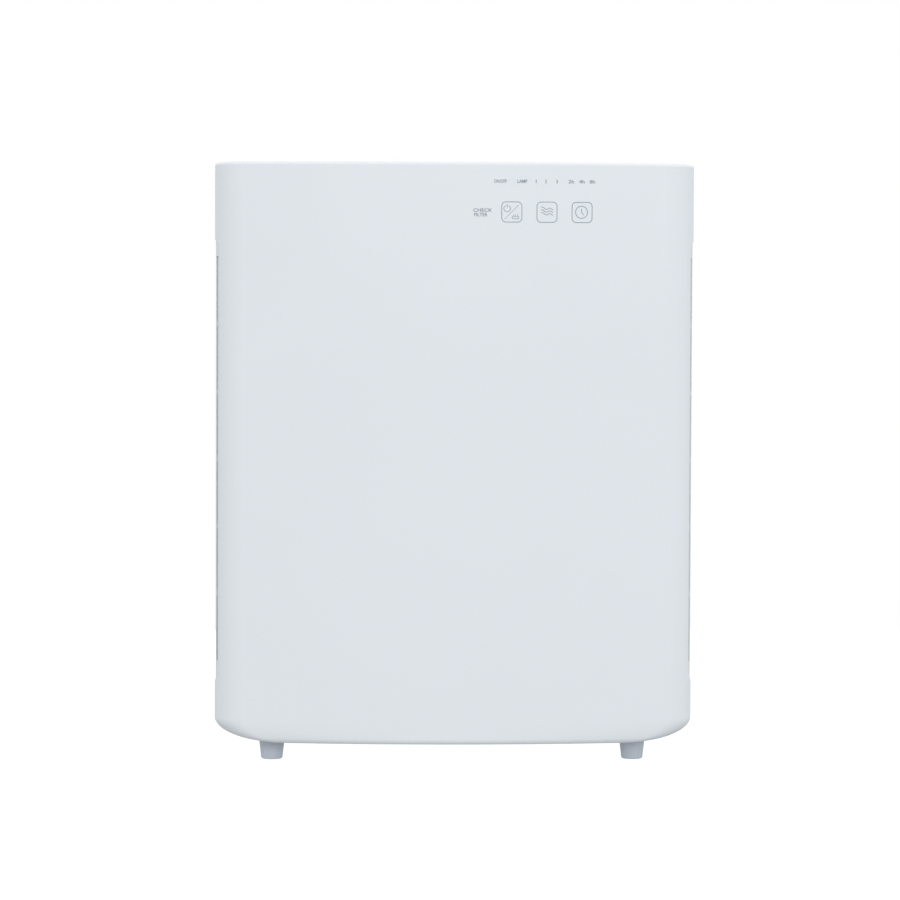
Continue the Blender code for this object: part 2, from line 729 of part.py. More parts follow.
def build_fan_wheel():
    front, back = WHEEL
    hub = [
        (WHEEL_RADIUS, back),
        (WHEEL_RADIUS, back - 0.0018),
        (0.030, back - 0.0018),
        (0.020, back - 0.0070),
        (0.012, back - 0.0160),
        (SHAFT_RADIUS + GAP, back - 0.0160),
        (SHAFT_RADIUS + GAP, back),
    ]
    wheel = turned("fan_wheel", hub, FAN_X, FAN_Z, DARK_PLASTIC, sides=36)
    shroud = [
        (WHEEL_RADIUS, front + 0.0050),
        (WHEEL_RADIUS, front + 0.0034),
        (WHEEL_EYE + 0.0030, front + 0.0004),
        (WHEEL_EYE, front),
        (WHEEL_EYE, front + 0.0016),
        (WHEEL_EYE + 0.0030, front + 0.0020),
    ]
    outline = blade_outline()
    for i in range(BLADES):
        blade = plate(f"blade_{i}", [outline], (front + 0.0030, back - 0.0012), helper=True)
        blade.location.x, blade.location.z = FAN_X, FAN_Z
        blade.rotation_euler.y = -2 * math.pi * i / BLADES
        join(wheel, blade)
    join(wheel, turned("shroud", shroud, FAN_X, FAN_Z, sides=36, helper=True))
    return wheel


def build_motor():
    front, back = MOTOR
    bore = 0.0085
    body = [
        (MOTOR_RADIUS, back - 0.004),
        (MOTOR_RADIUS, front + 0.003),
        (MOTOR_RADIUS - 0.003, front),
        (bore, front),
        (bore, back),
        (MOTOR_RADIUS - 0.010, back),
        (MOTOR_RADIUS - 0.010, back - 0.004),
    ]
    smooth(turned("motor_body", body, FAN_X, FAN_Z, STEEL))
    outer, inner = bore - GAP, SHAFT_RADIUS + GAP
    for name, start in (("motor_bearing_front", front + 0.0005), ("motor_bearing_rear", back - 0.0065)):
        end = start + 0.0045
        ring = [(outer, end), (outer, start), (inner, start), (inner, end)]
        smooth(turned(name, ring, FAN_X, FAN_Z, BRASS, sides=SMALL_ROUND))
    smooth(round_bar("motor_shaft", FAN_X, FAN_Z, (0.0335, back - 0.0008), SHAFT_RADIUS, STEEL))
    nut_y = (WHEEL[1] - 0.0160 - GAP - 0.0045, WHEEL[1] - 0.0160 - GAP)
    hexagon = [(FAN_X + u, FAN_Z + v) for u, v in circle(0, 0, 0.0078, 6)]
    plate("fan_nut", [hexagon, circle(FAN_X, FAN_Z, SHAFT_RADIUS + GAP)], nut_y, BRASS)


# Lamp, ioniser, electronics


def bar_along_x(name, x, y, z, radius, material):
    obj = add(name, cylinder_mesh(name, x[1] - x[0], radius), material)
    obj.rotation_euler = (0, math.pi / 2, 0)
    obj.location = ((x[0] + x[1]) / 2, y, z)
    return smooth(obj)


def build_uv_lamp():
    y, z = 0.0105, FAN_Z
    cap_start, cap_end = 0.098, 0.108
    socket_y, socket_z = (0.0038, BULKHEAD[0] - GAP), (z - 0.010, z + 0.013)
    bar_along_x("uv_lamp_tube", (-cap_start, cap_start), y, z, 0.0072, GLASS)
    for side, sign in (("left", -1), ("right", 1)):
        cap = sorted((sign * (cap_start + GAP), sign * cap_end))
        bar_along_x(f"uv_lamp_cap_{side}", cap, y, z, 0.0074, STEEL)
        socket = sorted((sign * (cap_end + GAP), sign * (cap_end + 0.014)))
        box(f"uv_socket_{side}", socket, socket_y, socket_z, DARK_PLASTIC, bevel=0.001)


def build_ioniser():
    back = SCROLL[1] - SCROLL_BACK - GAP
    module_y = (back - 0.012, back)
    box("ioniser_module", (-0.130, -0.095), module_y, (0.392, 0.412), DARK_PLASTIC, bevel=0.001)
    length = 0.009
    needle = add("ioniser_needle", cylinder_mesh("ioniser_needle", length, 0.0009, 0.0001, 10), STEEL)
    needle.location = (-0.1125, back - 0.006, 0.412 + GAP + length / 2)


def build_controls():
    wall = 0.002
    tray_x, tray_z = (0.024, 0.122), (0.4140, 0.4590)
    board_y = (BOARD_FRONT, BOARD_FRONT + 0.0016)
    tray_y = (board_y[1] + GAP, DECK[0] - GAP)
    tray = box("control_tray", tray_x, tray_y, tray_z, SATIN_WHITE)
    hollow_x = (tray_x[0] + wall, tray_x[1] - wall)
    hollow_z = (tray_z[0] + wall, tray_z[1] - wall)
    cut(tray, box("tray_hollow", hollow_x, (BOARD_FRONT, DECK[0] - wall), hollow_z, helper=True))
    board_edge = 0.0005
    board_x = (tray_x[0] + board_edge, tray_x[1] - board_edge)
    box("control_board", board_x, board_y, (tray_z[0] + board_edge, tray_z[1] - board_edge), CIRCUIT)
    for label, x in zip(("power", "speed", "timer"), BUTTON_X):
        front = cover_inner_y(x) + GAP
        back = BOARD_FRONT - GAP
        build_touch_spring(f"touch_spring_{label}", x, front, back)
    guide_front = cover_inner_y(0.116) + 0.0004
    guide_y = (BOARD_FRONT - 0.0020, BOARD_FRONT - GAP)
    guide = box("indicator_light_guide", (0.028, 0.116), guide_y, (0.4515, 0.4575), GLASS)
    for i, x in enumerate(LIGHT_PIPE_X):
        pipe_y = (guide_front, BOARD_FRONT - 0.0015)
        join(guide, round_bar(f"light_pipe_{i}", x, INDICATOR_Z, pipe_y, 0.0011, sides=8, helper=True))


def build_touch_spring(name, x, front, back):
    """A conical wire spring that carries the touch from the cover's inner face to the board."""
    turns, per_turn = 3, 10
    wire = 0.00035
    curve = bpy.data.curves.new(name, "CURVE")
    curve.dimensions = "3D"
    curve.bevel_depth = wire
    curve.bevel_resolution = 0
    curve.use_fill_caps = True
    spline = curve.splines.new("POLY")
    count = turns * per_turn + 1
    spline.points.add(count - 1)
    start, end = front + 2 * wire, back - wire - 0.0001
    for i in range(count):
        share = i / (count - 1)
        radius = 0.0050 - 0.0020 * share
        angle = 2 * math.pi * turns * share
        place = (radius * math.cos(angle), start + (end - start) * share, radius * math.sin(angle))
        spline.points[i].co = (*place, 1)
    obj = bpy.data.objects.new(name, curve)
    curve.materials.append(STEEL)
    PARTS.objects.link(obj)
    obj.location = (x, 0, BUTTON_Z)
    return obj


def build_door_switch():
    x, z = SWITCH_PLACE
    back = DECK[1] + GAP
    body_x, body_y, body_z = (x - 0.010, x + 0.010), (back, back + 0.0105), (z - 0.0045, z + 0.0045)
    body = box("door_switch", body_x, body_y, body_z, DARK_PLASTIC)
    cut(body, round_bar("switch_bore", x, z, (back - 0.001, back + 0.0085), 0.0016, sides=12, helper=True))
    round_bar("switch_plunger", x, z, (POST_TIP + GAP, back + 0.0055), 0.0012, RUBBER, sides=12)


def build_cover_sockets():
    """Soft bushes in the deck that grip the cover's studs."""
    grip = STUD_RADIUS + GAP
    front, back = DECK[0], DECK[1]
    profile = [
        (0.0043, back + 0.0040),
        (0.0043, front - GAP),
        (0.0058, front - GAP),
        (0.0058, front - GAP - 0.0010),
        (grip, front - GAP - 0.0010),
        (grip, back + 0.0040),
    ]
    places = ("top_left", "top_right", "bottom_left", "bottom_right")
    for place, (x, z) in zip(places, STUD_PLACES):
        turned(f"cover_socket_{place}", profile, x, z, RUBBER, sides=12)


def build_power_boards():
    front, back = 0.0360, 0.0376
    foot = back + GAP
    box("main_board", (0.104, 0.160), (front, back), (0.0300, 0.0860), CIRCUIT)
    transformer_y = (foot, back + 0.017)
    box("board_transformer", (0.108, 0.128), transformer_y, (0.0580, 0.0760), DARK_PLASTIC, bevel=0.001)
    round_bar("board_capacitor", 0.140, 0.0780, (foot, back + 0.018), 0.0060, DARK_PLASTIC)
    box("board_relay", (0.110, 0.126), (foot, back + 0.012), (0.0350, 0.0500), DARK_PLASTIC)


def build_mains_inlet():
    """A two-pin appliance inlet, open at the back."""
    x, z = 0.140, 0.0575
    back = BACK - 0.0002
    body_x, body_z = (x - 0.0120, x + 0.0120), (z - 0.0077, z + 0.0077)
    inlet = box("mains_inlet", body_x, (back - 0.0200, back), body_z, DARK_PLASTIC)
    mouth = [(x - 0.0040, z - 0.0045), (x + 0.0040, z - 0.0045)]
    mouth += arc(x + 0.0045, z, 0.0045, -90, 90, 6)[1:-1]
    mouth += [(x + 0.0040, z + 0.0045), (x - 0.0040, z + 0.0045)]
    mouth += arc(x - 0.0045, z, 0.0045, 90, 270, 6)[1:-1]
    cut(inlet, plate("inlet_mouth", [mouth], (back - 0.0160, back + 0.002), helper=True))
    for i, offset in enumerate((-0.0043, 0.0043)):
        pin_y = (back - 0.0170, back - 0.0020)
        join(inlet, round_bar(f"inlet_pin_{i}", x + offset, z, pin_y, 0.0012, sides=10, helper=True))
    return inlet


def build_rear_trim():
    box("rating_label", (-0.040, 0.040), (BACK - 0.0006, BACK - 0.0002), (0.060, 0.110), LABEL)
    seat = SCREW_HEAD_SEAT + GAP
    profile = [
        (0.0, seat + 0.0018),
        (0.0030, seat + 0.0018),
        (0.0037, seat + 0.0008),
        (0.0037, seat),
        (0.0016, seat),
        (0.0016, 0.0110),
        (0.0, 0.0095),
    ]
    for i, (x, z) in enumerate(SCREW_PLACES):
        turned(f"rear_screw_{i + 1}", profile, x, z, STEEL, closed=False, sides=8)


def build_cable(name, points, radius):
    """A lead that is clipped inside all the way, through points eased into a smooth line."""
    curve = bpy.data.curves.new(name, "CURVE")
    curve.dimensions = "3D"
    curve.bevel_depth = radius
    curve.bevel_resolution = 1
    curve.use_fill_caps = True
    knots = [Vector(p) for p in points]
    line = []
    steps = 4
    for i in range(len(knots) - 1):
        before, after = knots[max(i - 1, 0)], knots[min(i + 2, len(knots) - 1)]
        for k in range(steps):
            t = k / steps
            a = 2 * knots[i]
            b = (knots[i + 1] - before) * t
            c = (2 * before - 5 * knots[i] + 4 * knots[i + 1] - after) * t * t
            d = (3 * knots[i] - before - 3 * knots[i + 1] + after) * t**3
            line.append((a + b + c + d) / 2)
    line.append(knots[-1])
    spline = curve.splines.new("POLY")
    spline.points.add(len(line) - 1)
    for place, point in zip(spline.points, line):
        place.co = (*point, 1)
    curve.materials.append(DARK_PLASTIC)
    obj = bpy.data.objects.new(name, curve)
    PARTS.objects.link(obj)
    return obj


def build_motor_lead():
    """From the motor's edge, down behind the scroll, and round its corner to the main board."""
    route = [
        (0.036, 0.0720, 0.190),
        (0.046, 0.0720, 0.184),
        (0.075, 0.0700, 0.150),
        (0.100, 0.0660, 0.112),
        (0.118, 0.0560, 0.090),
        (0.124, 0.0460, 0.0805),
        (0.124, 0.0382, 0.0805),
    ]
    build_cable("motor_lead", route, 0.0014)


build_front_cover()
for side_name, side_sign in (("left", -1), ("right", 1)):
    build_intake_grille(side_name, side_sign)
build_middle_housing()
build_rear_housing()
build_handle_cup()
build_top_grille()
build_feet()
build_filters()
build_scroll()
build_inlet_ring()
build_fan_wheel()
build_motor()
build_uv_lamp()
build_ioniser()
build_controls()
build_door_switch()
build_cover_sockets()
build_power_boards()
build_mains_inlet()
build_rear_trim()
build_motor_lead()
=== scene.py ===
"""The looks of a slim upright air purifier, built around its fixed frame. Metres, +Z up, front towards -Y."""

import json
import math

import bmesh
import bpy
from mathutils import Matrix, Vector


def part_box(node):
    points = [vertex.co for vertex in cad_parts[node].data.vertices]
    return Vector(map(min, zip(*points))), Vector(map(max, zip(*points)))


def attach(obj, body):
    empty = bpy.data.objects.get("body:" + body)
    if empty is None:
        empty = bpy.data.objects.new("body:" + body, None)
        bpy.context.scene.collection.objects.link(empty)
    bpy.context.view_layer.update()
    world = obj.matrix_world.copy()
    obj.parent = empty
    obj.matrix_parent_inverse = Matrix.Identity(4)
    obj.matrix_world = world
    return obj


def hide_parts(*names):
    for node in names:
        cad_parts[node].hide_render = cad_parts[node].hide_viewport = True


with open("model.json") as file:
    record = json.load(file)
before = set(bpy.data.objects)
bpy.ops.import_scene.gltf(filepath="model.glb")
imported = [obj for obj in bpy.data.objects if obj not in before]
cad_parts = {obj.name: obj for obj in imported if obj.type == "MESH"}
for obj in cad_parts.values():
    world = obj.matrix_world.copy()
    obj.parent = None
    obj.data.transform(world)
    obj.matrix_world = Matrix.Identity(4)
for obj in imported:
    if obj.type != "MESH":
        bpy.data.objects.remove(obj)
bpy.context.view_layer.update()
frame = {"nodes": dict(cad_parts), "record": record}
MM = 0.001

# The front cover's form
FACE_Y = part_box("front_cover")[0][1]
COVER_LOW, COVER_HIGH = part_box("front_cover")[0][2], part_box("front_cover")[1][2]
COVER_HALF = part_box("front_cover")[1][0]
RIM_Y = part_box("intake_grille_left")[1][1]
CORNER = 26 * MM
BOW = 1.43
CORNER_WIDTH, CORNER_RISE = 44 * MM, 18.5 * MM
BOTTOM_EDGE, TOP_EDGE = 4 * MM, 2.7 * MM
COVER_WALL = 2.5 * MM

# The rear housing's form
BACK_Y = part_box("rear_housing")[1][1]
REAR_LOW, REAR_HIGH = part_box("rear_housing")[0][2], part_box("rear_housing")[1][2]
REAR_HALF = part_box("rear_housing")[1][0]
REAR_RIM_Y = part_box("rear_housing")[0][1]
HOUSING_INSET = COVER_HALF - REAR_HALF
REAR_CORNER = 18 * MM
REAR_WALL = 2.5 * MM

# The floor's half side
FLOOR_HALF = 1.04

# The printed controls
KEY_SIDE, KEY_ROUND = 15.4 * MM, 3.2 * MM
LINE = 0.55 * MM
PRINT_LIFT = 0.05 * MM
# The keys are printed a little to the left of the springs that sense them
KEYS_ASIDE, KEYS_HIGH = -2.5 * MM, 0.4249


def middle(node):
    low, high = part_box(node)
    return Vector([(low[i] + high[i]) / 2 for i in range(3)])


# Nodes, for materials and for shapes


def linear(hex_colour):
    """An sRGB hex colour as linear RGBA."""
    values = [int(hex_colour[i : i + 2], 16) / 255 for i in (1, 3, 5)]
    return (*[v / 12.92 if v <= 0.04045 else ((v + 0.055) / 1.055) ** 2.4 for v in values], 1.0)


def add_node(tree, kind, settings=None, inputs=None):
    """A node with its settings. Each input is a value, a socket that feeds it, or a list of such sockets."""
    node = tree.nodes.new(kind)
    for name, value in (settings or {}).items():
        setattr(node, name, value)
    for name, value in (inputs or {}).items():
        for one in value if isinstance(value, list) else [value]:
            if isinstance(one, bpy.types.NodeSocket):
                tree.links.new(one, node.inputs[name])
            else:
                node.inputs[name].default_value = one
    return node


# Materials


def new_finish(name):
    made = bpy.data.materials.new(name)
    made.use_nodes = True
    tree = made.node_tree
    shader = tree.nodes["Principled BSDF"]
    place = add_node(tree, "ShaderNodeTexCoord").outputs["Object"]
    return made, tree, shader, place


def noise(tree, place, millimetres, detail=3.0, rough=0.5):
    """Soft noise whose blotches are about that many millimetres across."""
    scale = 1 / (millimetres * MM)
    inputs = {"Vector": place, "Scale": scale, "Detail": detail, "Roughness": rough}
    return add_node(tree, "ShaderNodeTexNoise", inputs=inputs).outputs["Fac"]


def ramp(tree, factor, low, high, first, last):
    """A number that goes from first to last as factor goes from low to high."""
    inputs = {"Value": factor, "From Min": low, "From Max": high, "To Min": first, "To Max": last}
    return add_node(tree, "ShaderNodeMapRange", inputs=inputs).outputs["Result"]


def blend_colours(tree, factor, one, other):
    """From one colour to the other. Sockets 0, 6 and 7 are the node's factor and its two colours."""
    return add_node(tree, "ShaderNodeMix", {"data_type": "RGBA"}, {0: factor, 6: one, 7: other}).outputs[2]


def relief(tree, shader, height, depth_mm, strength=1.0):
    bump = add_node(
        tree, "ShaderNodeBump", inputs={"Height": height, "Distance": depth_mm * MM, "Strength": strength}
    )
    tree.links.new(bump.outputs["Normal"], shader.inputs["Normal"])


def finish(name, colour, shade, roughness, grain_mm, depth_mm, cloud_mm=70.0, spread=0.05, metallic=0.0, ior=1.5):
    """Two close shades in soft clouds, a roughness that wanders a little, and a fine grain in relief."""
    made, tree, shader, place = new_finish(name)
    clouds = ramp(tree, noise(tree, place, cloud_mm), 0.35, 0.65, 0.0, 1.0)
    tree.links.new(blend_colours(tree, clouds, linear(colour), linear(shade)), shader.inputs["Base Color"])
    handling = noise(tree, place, cloud_mm / 3, 5.0, 0.6)
    rough = ramp(tree, handling, 0.3, 0.7, roughness - spread, roughness + spread)
    tree.links.new(rough, shader.inputs["Roughness"])
    shader.inputs["Metallic"].default_value = metallic
    if not metallic:
        shader.inputs["IOR"].default_value = ior
    relief(tree, shader, noise(tree, place, grain_mm, 2.0), depth_mm)
    return made


# Gloss ABS, polished in the mould: sharp soft-box reflections with a very slight orange peel.
GLOSS_ABS = finish("gloss_abs_cool_white", "#DADFE3", "#D9DEE2", 0.14, 9.0, 0.0015, 140.0, 0.02, ior=1.54)
# ABS with a fine spark-eroded texture: an even, soft sheen.
SATIN_ABS = finish("satin_abs_cool_white", "#D9DEE2", "#D7DCE0", 0.42, 0.7, 0.012, 90.0, 0.05, ior=1.54)
# The same ABS inside, where the mould is only machined: duller, with faint flow clouds.
INNER_ABS = finish("unpolished_abs_white", "#D6DADD", "#CDD1D5", 0.50, 1.2, 0.015, 50.0, 0.06, ior=1.54)
# Moulded soft rubber, grey with a blue cast, and matte.
RUBBER = finish("grey_blue_rubber", "#BCC4CE", "#B4BCC6", 0.72, 0.8, 0.03, 12.0, 0.06, ior=1.52)
# Glass-filled nylon, black: matte with a slight fibre grain.
BLACK_NYLON = finish("glass_filled_black_nylon", "#1D1E20", "#242629", 0.48, 0.6, 0.02, 25.0, 0.08, ior=1.53)
# Polypropylene filter frame, mid grey.
GREY_PP = finish("grey_polypropylene", "#8C9096", "#82868C", 0.50, 0.9, 0.02, 40.0, 0.06, ior=1.49)
# Zinc-plated steel: bright, with a cool haze.
ZINC_STEEL = finish("zinc_plated_steel", "#C4C7CA", "#AEB2B6", 0.32, 0.5, 0.006, 6.0, 0.08, metallic=1.0)
# Drawn and lacquered motor can.
MOTOR_STEEL = finish("drawn_motor_can_steel", "#8E9194", "#7E8184", 0.38, 0.6, 0.008, 18.0, 0.08, metallic=1.0)
# Turned brass, slightly dull from handling.
BRASS = finish("turned_brass", "#C9A65A", "#B8934A", 0.30, 0.4, 0.004, 5.0, 0.08, metallic=1.0)
# Screen ink, cool grey and matte, a few hundredths of a millimetre thick.
GREY_INK = finish("cool_grey_screen_ink", "#89939C", "#818B94", 0.55, 0.4, 0.002, 6.0, 0.05)
# Polyester label film with a satin face.
LABEL_FILM = finish("satin_polyester_label", "#C9CCCE", "#C3C6C9", 0.33, 0.8, 0.003, 20.0, 0.05)
# Hot-melt glue, set in beads: milky, with a soft gloss.
HOT_GLUE = finish("hot_melt_glue", "#EDEBE2", "#E4E1D6", 0.30, 1.5, 0.02, 10.0, 0.05, ior=1.48)
# Soft PVC on the motor's lead.
CABLE_PVC = finish("black_pvc_sheath", "#141415", "#1B1B1D", 0.45, 0.8, 0.01, 10.0, 0.08, ior=1.53)


def filter_paper():
    """Glass-fibre filter paper: bright, matte, and felted with fine crossing fibres."""
    made, tree, shader, place = new_finish("glass_fibre_filter_paper")
    stretch = add_node(tree, "ShaderNodeMapping", inputs={"Vector": place, "Scale": (1.0, 1.0, 0.15)})
    fibres = noise(tree, stretch.outputs["Vector"], 0.6, 6.0, 0.7)
    felt = noise(tree, place, 2.5, 4.0, 0.65)
    tree.links.new(
        blend_colours(tree, ramp(tree, felt, 0.3, 0.7, 0.0, 1.0), linear("#F3F4F2"), linear("#E6E8E6")),
        shader.inputs["Base Color"],
    )
    tree.links.new(ramp(tree, felt, 0.3, 0.7, 0.85, 0.97), shader.inputs["Roughness"])
    relief(tree, shader, fibres, 0.08)
    return made


def filter_card():
    """Coated white card, folded into frames: matte, with a faint pulp grain and slightly greyed faces."""
    made, tree, shader, place = new_finish("white_folding_card")
    pulp = noise(tree, place, 3.0, 6.0, 0.7)
    tree.links.new(
        blend_colours(tree, ramp(tree, pulp, 0.35, 0.65, 0.0, 1.0), linear("#E2E3E1"), linear("#D3D5D3")),
        shader.inputs["Base Color"],
    )
    tree.links.new(ramp(tree, pulp, 0.3, 0.7, 0.70, 0.86), shader.inputs["Roughness"])
    relief(tree, shader, noise(tree, place, 0.5, 4.0, 0.6), 0.03)
    return made


def granules(name, dark, light, grain_mm, roughness):
    """Packed grains, each with a shade of its own and a dark gap around it."""
    made, tree, shader, place = new_finish(name)
    inputs = {"Vector": place, "Scale": 1 / (grain_mm * MM), "Randomness": 1.0}
    cells = add_node(tree, "ShaderNodeTexVoronoi", inputs=inputs)
    shade = add_node(tree, "ShaderNodeSeparateColor", inputs={"Color": cells.outputs["Color"]}).outputs["Red"]
    tree.links.new(blend_colours(tree, shade, linear(dark), linear(light)), shader.inputs["Base Color"])
    tree.links.new(ramp(tree, shade, 0.0, 1.0, roughness - 0.15, roughness + 0.1), shader.inputs["Roughness"])
    relief(tree, shader, ramp(tree, cells.outputs["Distance"], 0.0, 0.8, 1.0, 0.0), grain_mm / 2)
    return made


def woven_tape():
    """Blue polyester tape in a plain weave. The threads are drawn 0.8 mm apart, coarse enough to show."""
    made, tree, shader, place = new_finish("woven_polyester_tape")
    pitch = 0.8 * MM
    parts = add_node(tree, "ShaderNodeSeparateXYZ", inputs={"Vector": place})
    waves = []
    for axis in ("X", "Z"):
        turn = add_node(
            tree, "ShaderNodeMath", {"operation": "MULTIPLY"}, {0: parts.outputs[axis], 1: math.pi / pitch}
        )
        sine = add_node(tree, "ShaderNodeMath", {"operation": "SINE"}, {0: turn.outputs[0]})
        waves.append(add_node(tree, "ShaderNodeMath", {"operation": "ABSOLUTE"}, {0: sine.outputs[0]}).outputs[0])
    weave = add_node(tree, "ShaderNodeMath", {"operation": "MULTIPLY"}, {0: waves[0], 1: waves[1]}).outputs[0]
    tree.links.new(blend_colours(tree, weave, linear("#2B4C7E"), linear("#4A72AB")), shader.inputs["Base Color"])
    shader.inputs["Roughness"].default_value = 0.85
    shader.inputs["Sheen Weight"].default_value = 0.3
    relief(tree, shader, weave, 0.15)
    return made


def circuit_board():
    """Green solder mask over copper tracks, which show as slightly raised and lighter runs."""
    made, tree, shader, place = new_finish("solder_masked_glass_epoxy")
    inputs = {"Vector": place, "Scale": 1 / (3.2 * MM), "Randomness": 0.0}
    settings = {"distance": "CHEBYCHEV"}
    tracks = add_node(tree, "ShaderNodeTexVoronoi", settings, inputs).outputs["Distance"]
    copper = ramp(tree, tracks, 0.38, 0.42, 0.0, 1.0)
    tree.links.new(blend_colours(tree, copper, linear("#1B5A36"), linear("#2C7A4C")), shader.inputs["Base Color"])
    tree.links.new(ramp(tree, noise(tree, place, 8.0), 0.3, 0.7, 0.22, 0.34), shader.inputs["Roughness"])
    relief(tree, shader, copper, 0.03)
    return made


def clear(name, colour, roughness, ior):
    """A clear solid with faint waviness in its surface."""
    made, tree, shader, place = new_finish(name)
    shader.inputs["Base Color"].default_value = linear(colour)
    shader.inputs["Transmission Weight"].default_value = 1.0
    shader.inputs["IOR"].default_value = ior
    streaks = noise(tree, place, 14.0, 2.0)
    tree.links.new(ramp(tree, streaks, 0.3, 0.7, roughness, roughness + 0.04), shader.inputs["Roughness"])
    relief(tree, shader, streaks, 0.01)
    return made


FILTER_PAPER = filter_paper()
FILTER_CARD = filter_card()
# Coconut-shell carbon, crushed to granules of about 2 mm, glued behind a paper honeycomb.
CARBON = granules("activated_carbon_granules", "#0B0B0C", "#26272A", 2.0, 0.65)
# Paper honeycomb dipped in a titanium dioxide coat: chalky, with a faint blue cast.
CATALYST = finish("titania_coated_honeycomb", "#C3CDD3", "#B3BFC7", 0.85, 0.5, 0.05, 20.0, 0.06)
# Black kraft paper of the carbon filter's cells.
BLACK_PAPER = finish("black_kraft_paper", "#1A1A1B", "#222224", 0.80, 0.6, 0.03, 15.0, 0.08)
WOVEN_TAPE = woven_tape()
CIRCUIT = circuit_board()
# Quartz glass of the lamp, drawn into a tube.
QUARTZ = clear("drawn_quartz_glass", "#F4F8FB", 0.02, 1.46)
# Polished acrylic of the light guide.
ACRYLIC = clear("polished_acrylic", "#F6F8F8", 0.04, 1.49)


# Shapes


def new_piece(name, mesh, material=None):
    piece = bpy.data.objects.new(name, mesh)
    bpy.context.scene.collection.objects.link(piece)
    if material:
        mesh.materials.clear()
        mesh.materials.append(material)
    return piece


def settled(piece):
    """The piece with its modifiers worked into a plain mesh."""
    bpy.context.view_layer.update()
    graph = bpy.context.evaluated_depsgraph_get()
    mesh = bpy.data.meshes.new_from_object(piece.evaluated_get(graph))
    piece.modifiers.clear()
    piece.data = mesh
    return piece


def eased(piece, width, degrees=35.0, segments=2):
    """Rounds every edge sharper than that, and shades the whole smoothly."""
    piece.data.shade_smooth()
    bevel = piece.modifiers.new("eased_edges", "BEVEL")
    bevel.width = width
    bevel.segments = segments
    bevel.limit_method = "ANGLE"
    bevel.angle_limit = math.radians(degrees)
    bevel.miter_outer = "MITER_ARC"
    normals = piece.modifiers.new("even_normals", "WEIGHTED_NORMAL")
    normals.keep_sharp = True
    return settled(piece)


def walled(piece, thickness, even=True):
    """Gives an open skin a wall behind it."""
    wall = piece.modifiers.new("wall", "SOLIDIFY")
    wall.thickness = thickness
    wall.offset = -1.0
    wall.use_even_offset = even
    return settled(piece)


# Geometry trees, for what repeats


def tree_with(name, sizes):
    """A geometry tree with one named input for each size, and those inputs' sockets by name."""
    tree = bpy.data.node_groups.new(name, "GeometryNodeTree")
    tree.interface.new_socket("Geometry", in_out="OUTPUT", socket_type="NodeSocketGeometry")
    kinds = {int: "NodeSocketInt", float: "NodeSocketFloat", bpy.types.Object: "NodeSocketObject"}
    tree.interface.new_socket("Base", in_out="INPUT", socket_type="NodeSocketGeometry")
    for label, value in sizes.items():
        tree.interface.new_socket(label, in_out="INPUT", socket_type=kinds[type(value)])
    return tree, tree.nodes.new("NodeGroupInput").outputs


def grown(tree, result, sizes, material, base=None):
    """The plain mesh that a geometry tree makes from these sizes."""
    whole = add_node(tree, "GeometryNodeRealizeInstances", inputs={"Geometry": result})
    inputs = {"Geometry": whole.outputs[0], "Material": material}
    coated = add_node(tree, "GeometryNodeSetMaterial", inputs=inputs)
    add_node(tree, "NodeGroupOutput", inputs={"Geometry": coated.outputs[0]})
    piece = new_piece(tree.name, base or bpy.data.meshes.new(tree.name))
    growth = piece.modifiers.new("growth", "NODES")
    growth.node_group = tree
    for socket in tree.interface.items_tree:
        if socket.in_out == "INPUT" and socket.name in sizes:
            growth[socket.identifier] = sizes[socket.name]
    settled(piece)
    bpy.data.node_groups.remove(tree)
    return piece


def vector(tree, x=0.0, y=0.0, z=0.0):
    return add_node(tree, "ShaderNodeCombineXYZ", inputs={"X": x, "Y": y, "Z": z}).outputs[0]


def product(tree, one, other):
    return add_node(tree, "ShaderNodeMath", {"operation": "MULTIPLY"}, {0: one, 1: other}).outputs[0]


def copies(name, template, places, material):
    """One mesh with a copy of the template at every place. The template itself is then removed."""
    sizes = {"Template": template}
    tree, given = tree_with(name, sizes)
    shape = add_node(tree, "GeometryNodeObjectInfo", inputs={"Object": given["Template"]}).outputs["Geometry"]
    set_out = add_node(tree, "GeometryNodeInstanceOnPoints", inputs={"Points": given["Base"], "Instance": shape})
    base = bpy.data.meshes.new(name)
    base.from_pydata([tuple(place) for place in places], [], [])
    piece = grown(tree, set_out.outputs[0], sizes, material, base)
    bpy.data.objects.remove(template)
    return piece


def finer_node(node, width, material, degrees=35.0):
    """A copy of a CAD node with its flat faces whole and its edges eased, which stands for the node."""
    mesh = frame["nodes"][node].data.copy()
    bm = bmesh.new()
    bm.from_mesh(mesh)
    bmesh.ops.remove_doubles(bm, verts=bm.verts, dist=1e-6)
    bmesh.ops.dissolve_limit(bm, angle_limit=math.radians(1.0), verts=bm.verts, edges=bm.edges)
    bm.to_mesh(mesh)
    bm.free()
    piece = eased(new_piece(node + "_eased", mesh, material), width, degrees)
    ride(piece, body_of_node(node))
    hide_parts(node)
    return piece


def body_of_node(node):
    bodies = frame["record"]["behaviour"]["bodies"]
    return next(name for name, members in bodies.items() if node in members)


def ride(piece, body):
    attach(piece, body)
    return piece


def add_skin(bm, rows, closed=False):
    """Faces through rows of points. Where rows are closed, each one is a ring."""
    lines = [[bm.verts.new(point) for point in row] for row in rows]
    for lower, upper in zip(lines, lines[1:]):
        count = len(lower) if closed else len(lower) - 1
        for i in range(count):
            j = (i + 1) % len(lower)
            bm.faces.new((lower[i], lower[j], upper[j], upper[i]))


def skin(rows, closed=False):
    bm = bmesh.new()
    add_skin(bm, rows, closed)
    bmesh.ops.remove_doubles(bm, verts=bm.verts, dist=1e-6)
    return bm


def finished_as_is(bm, name, material):
    """The mesh as a piece, its faces turned as they are."""
    mesh = bpy.data.meshes.new(name)
    bm.to_mesh(mesh)
    bm.free()
    return new_piece(name, mesh, material)


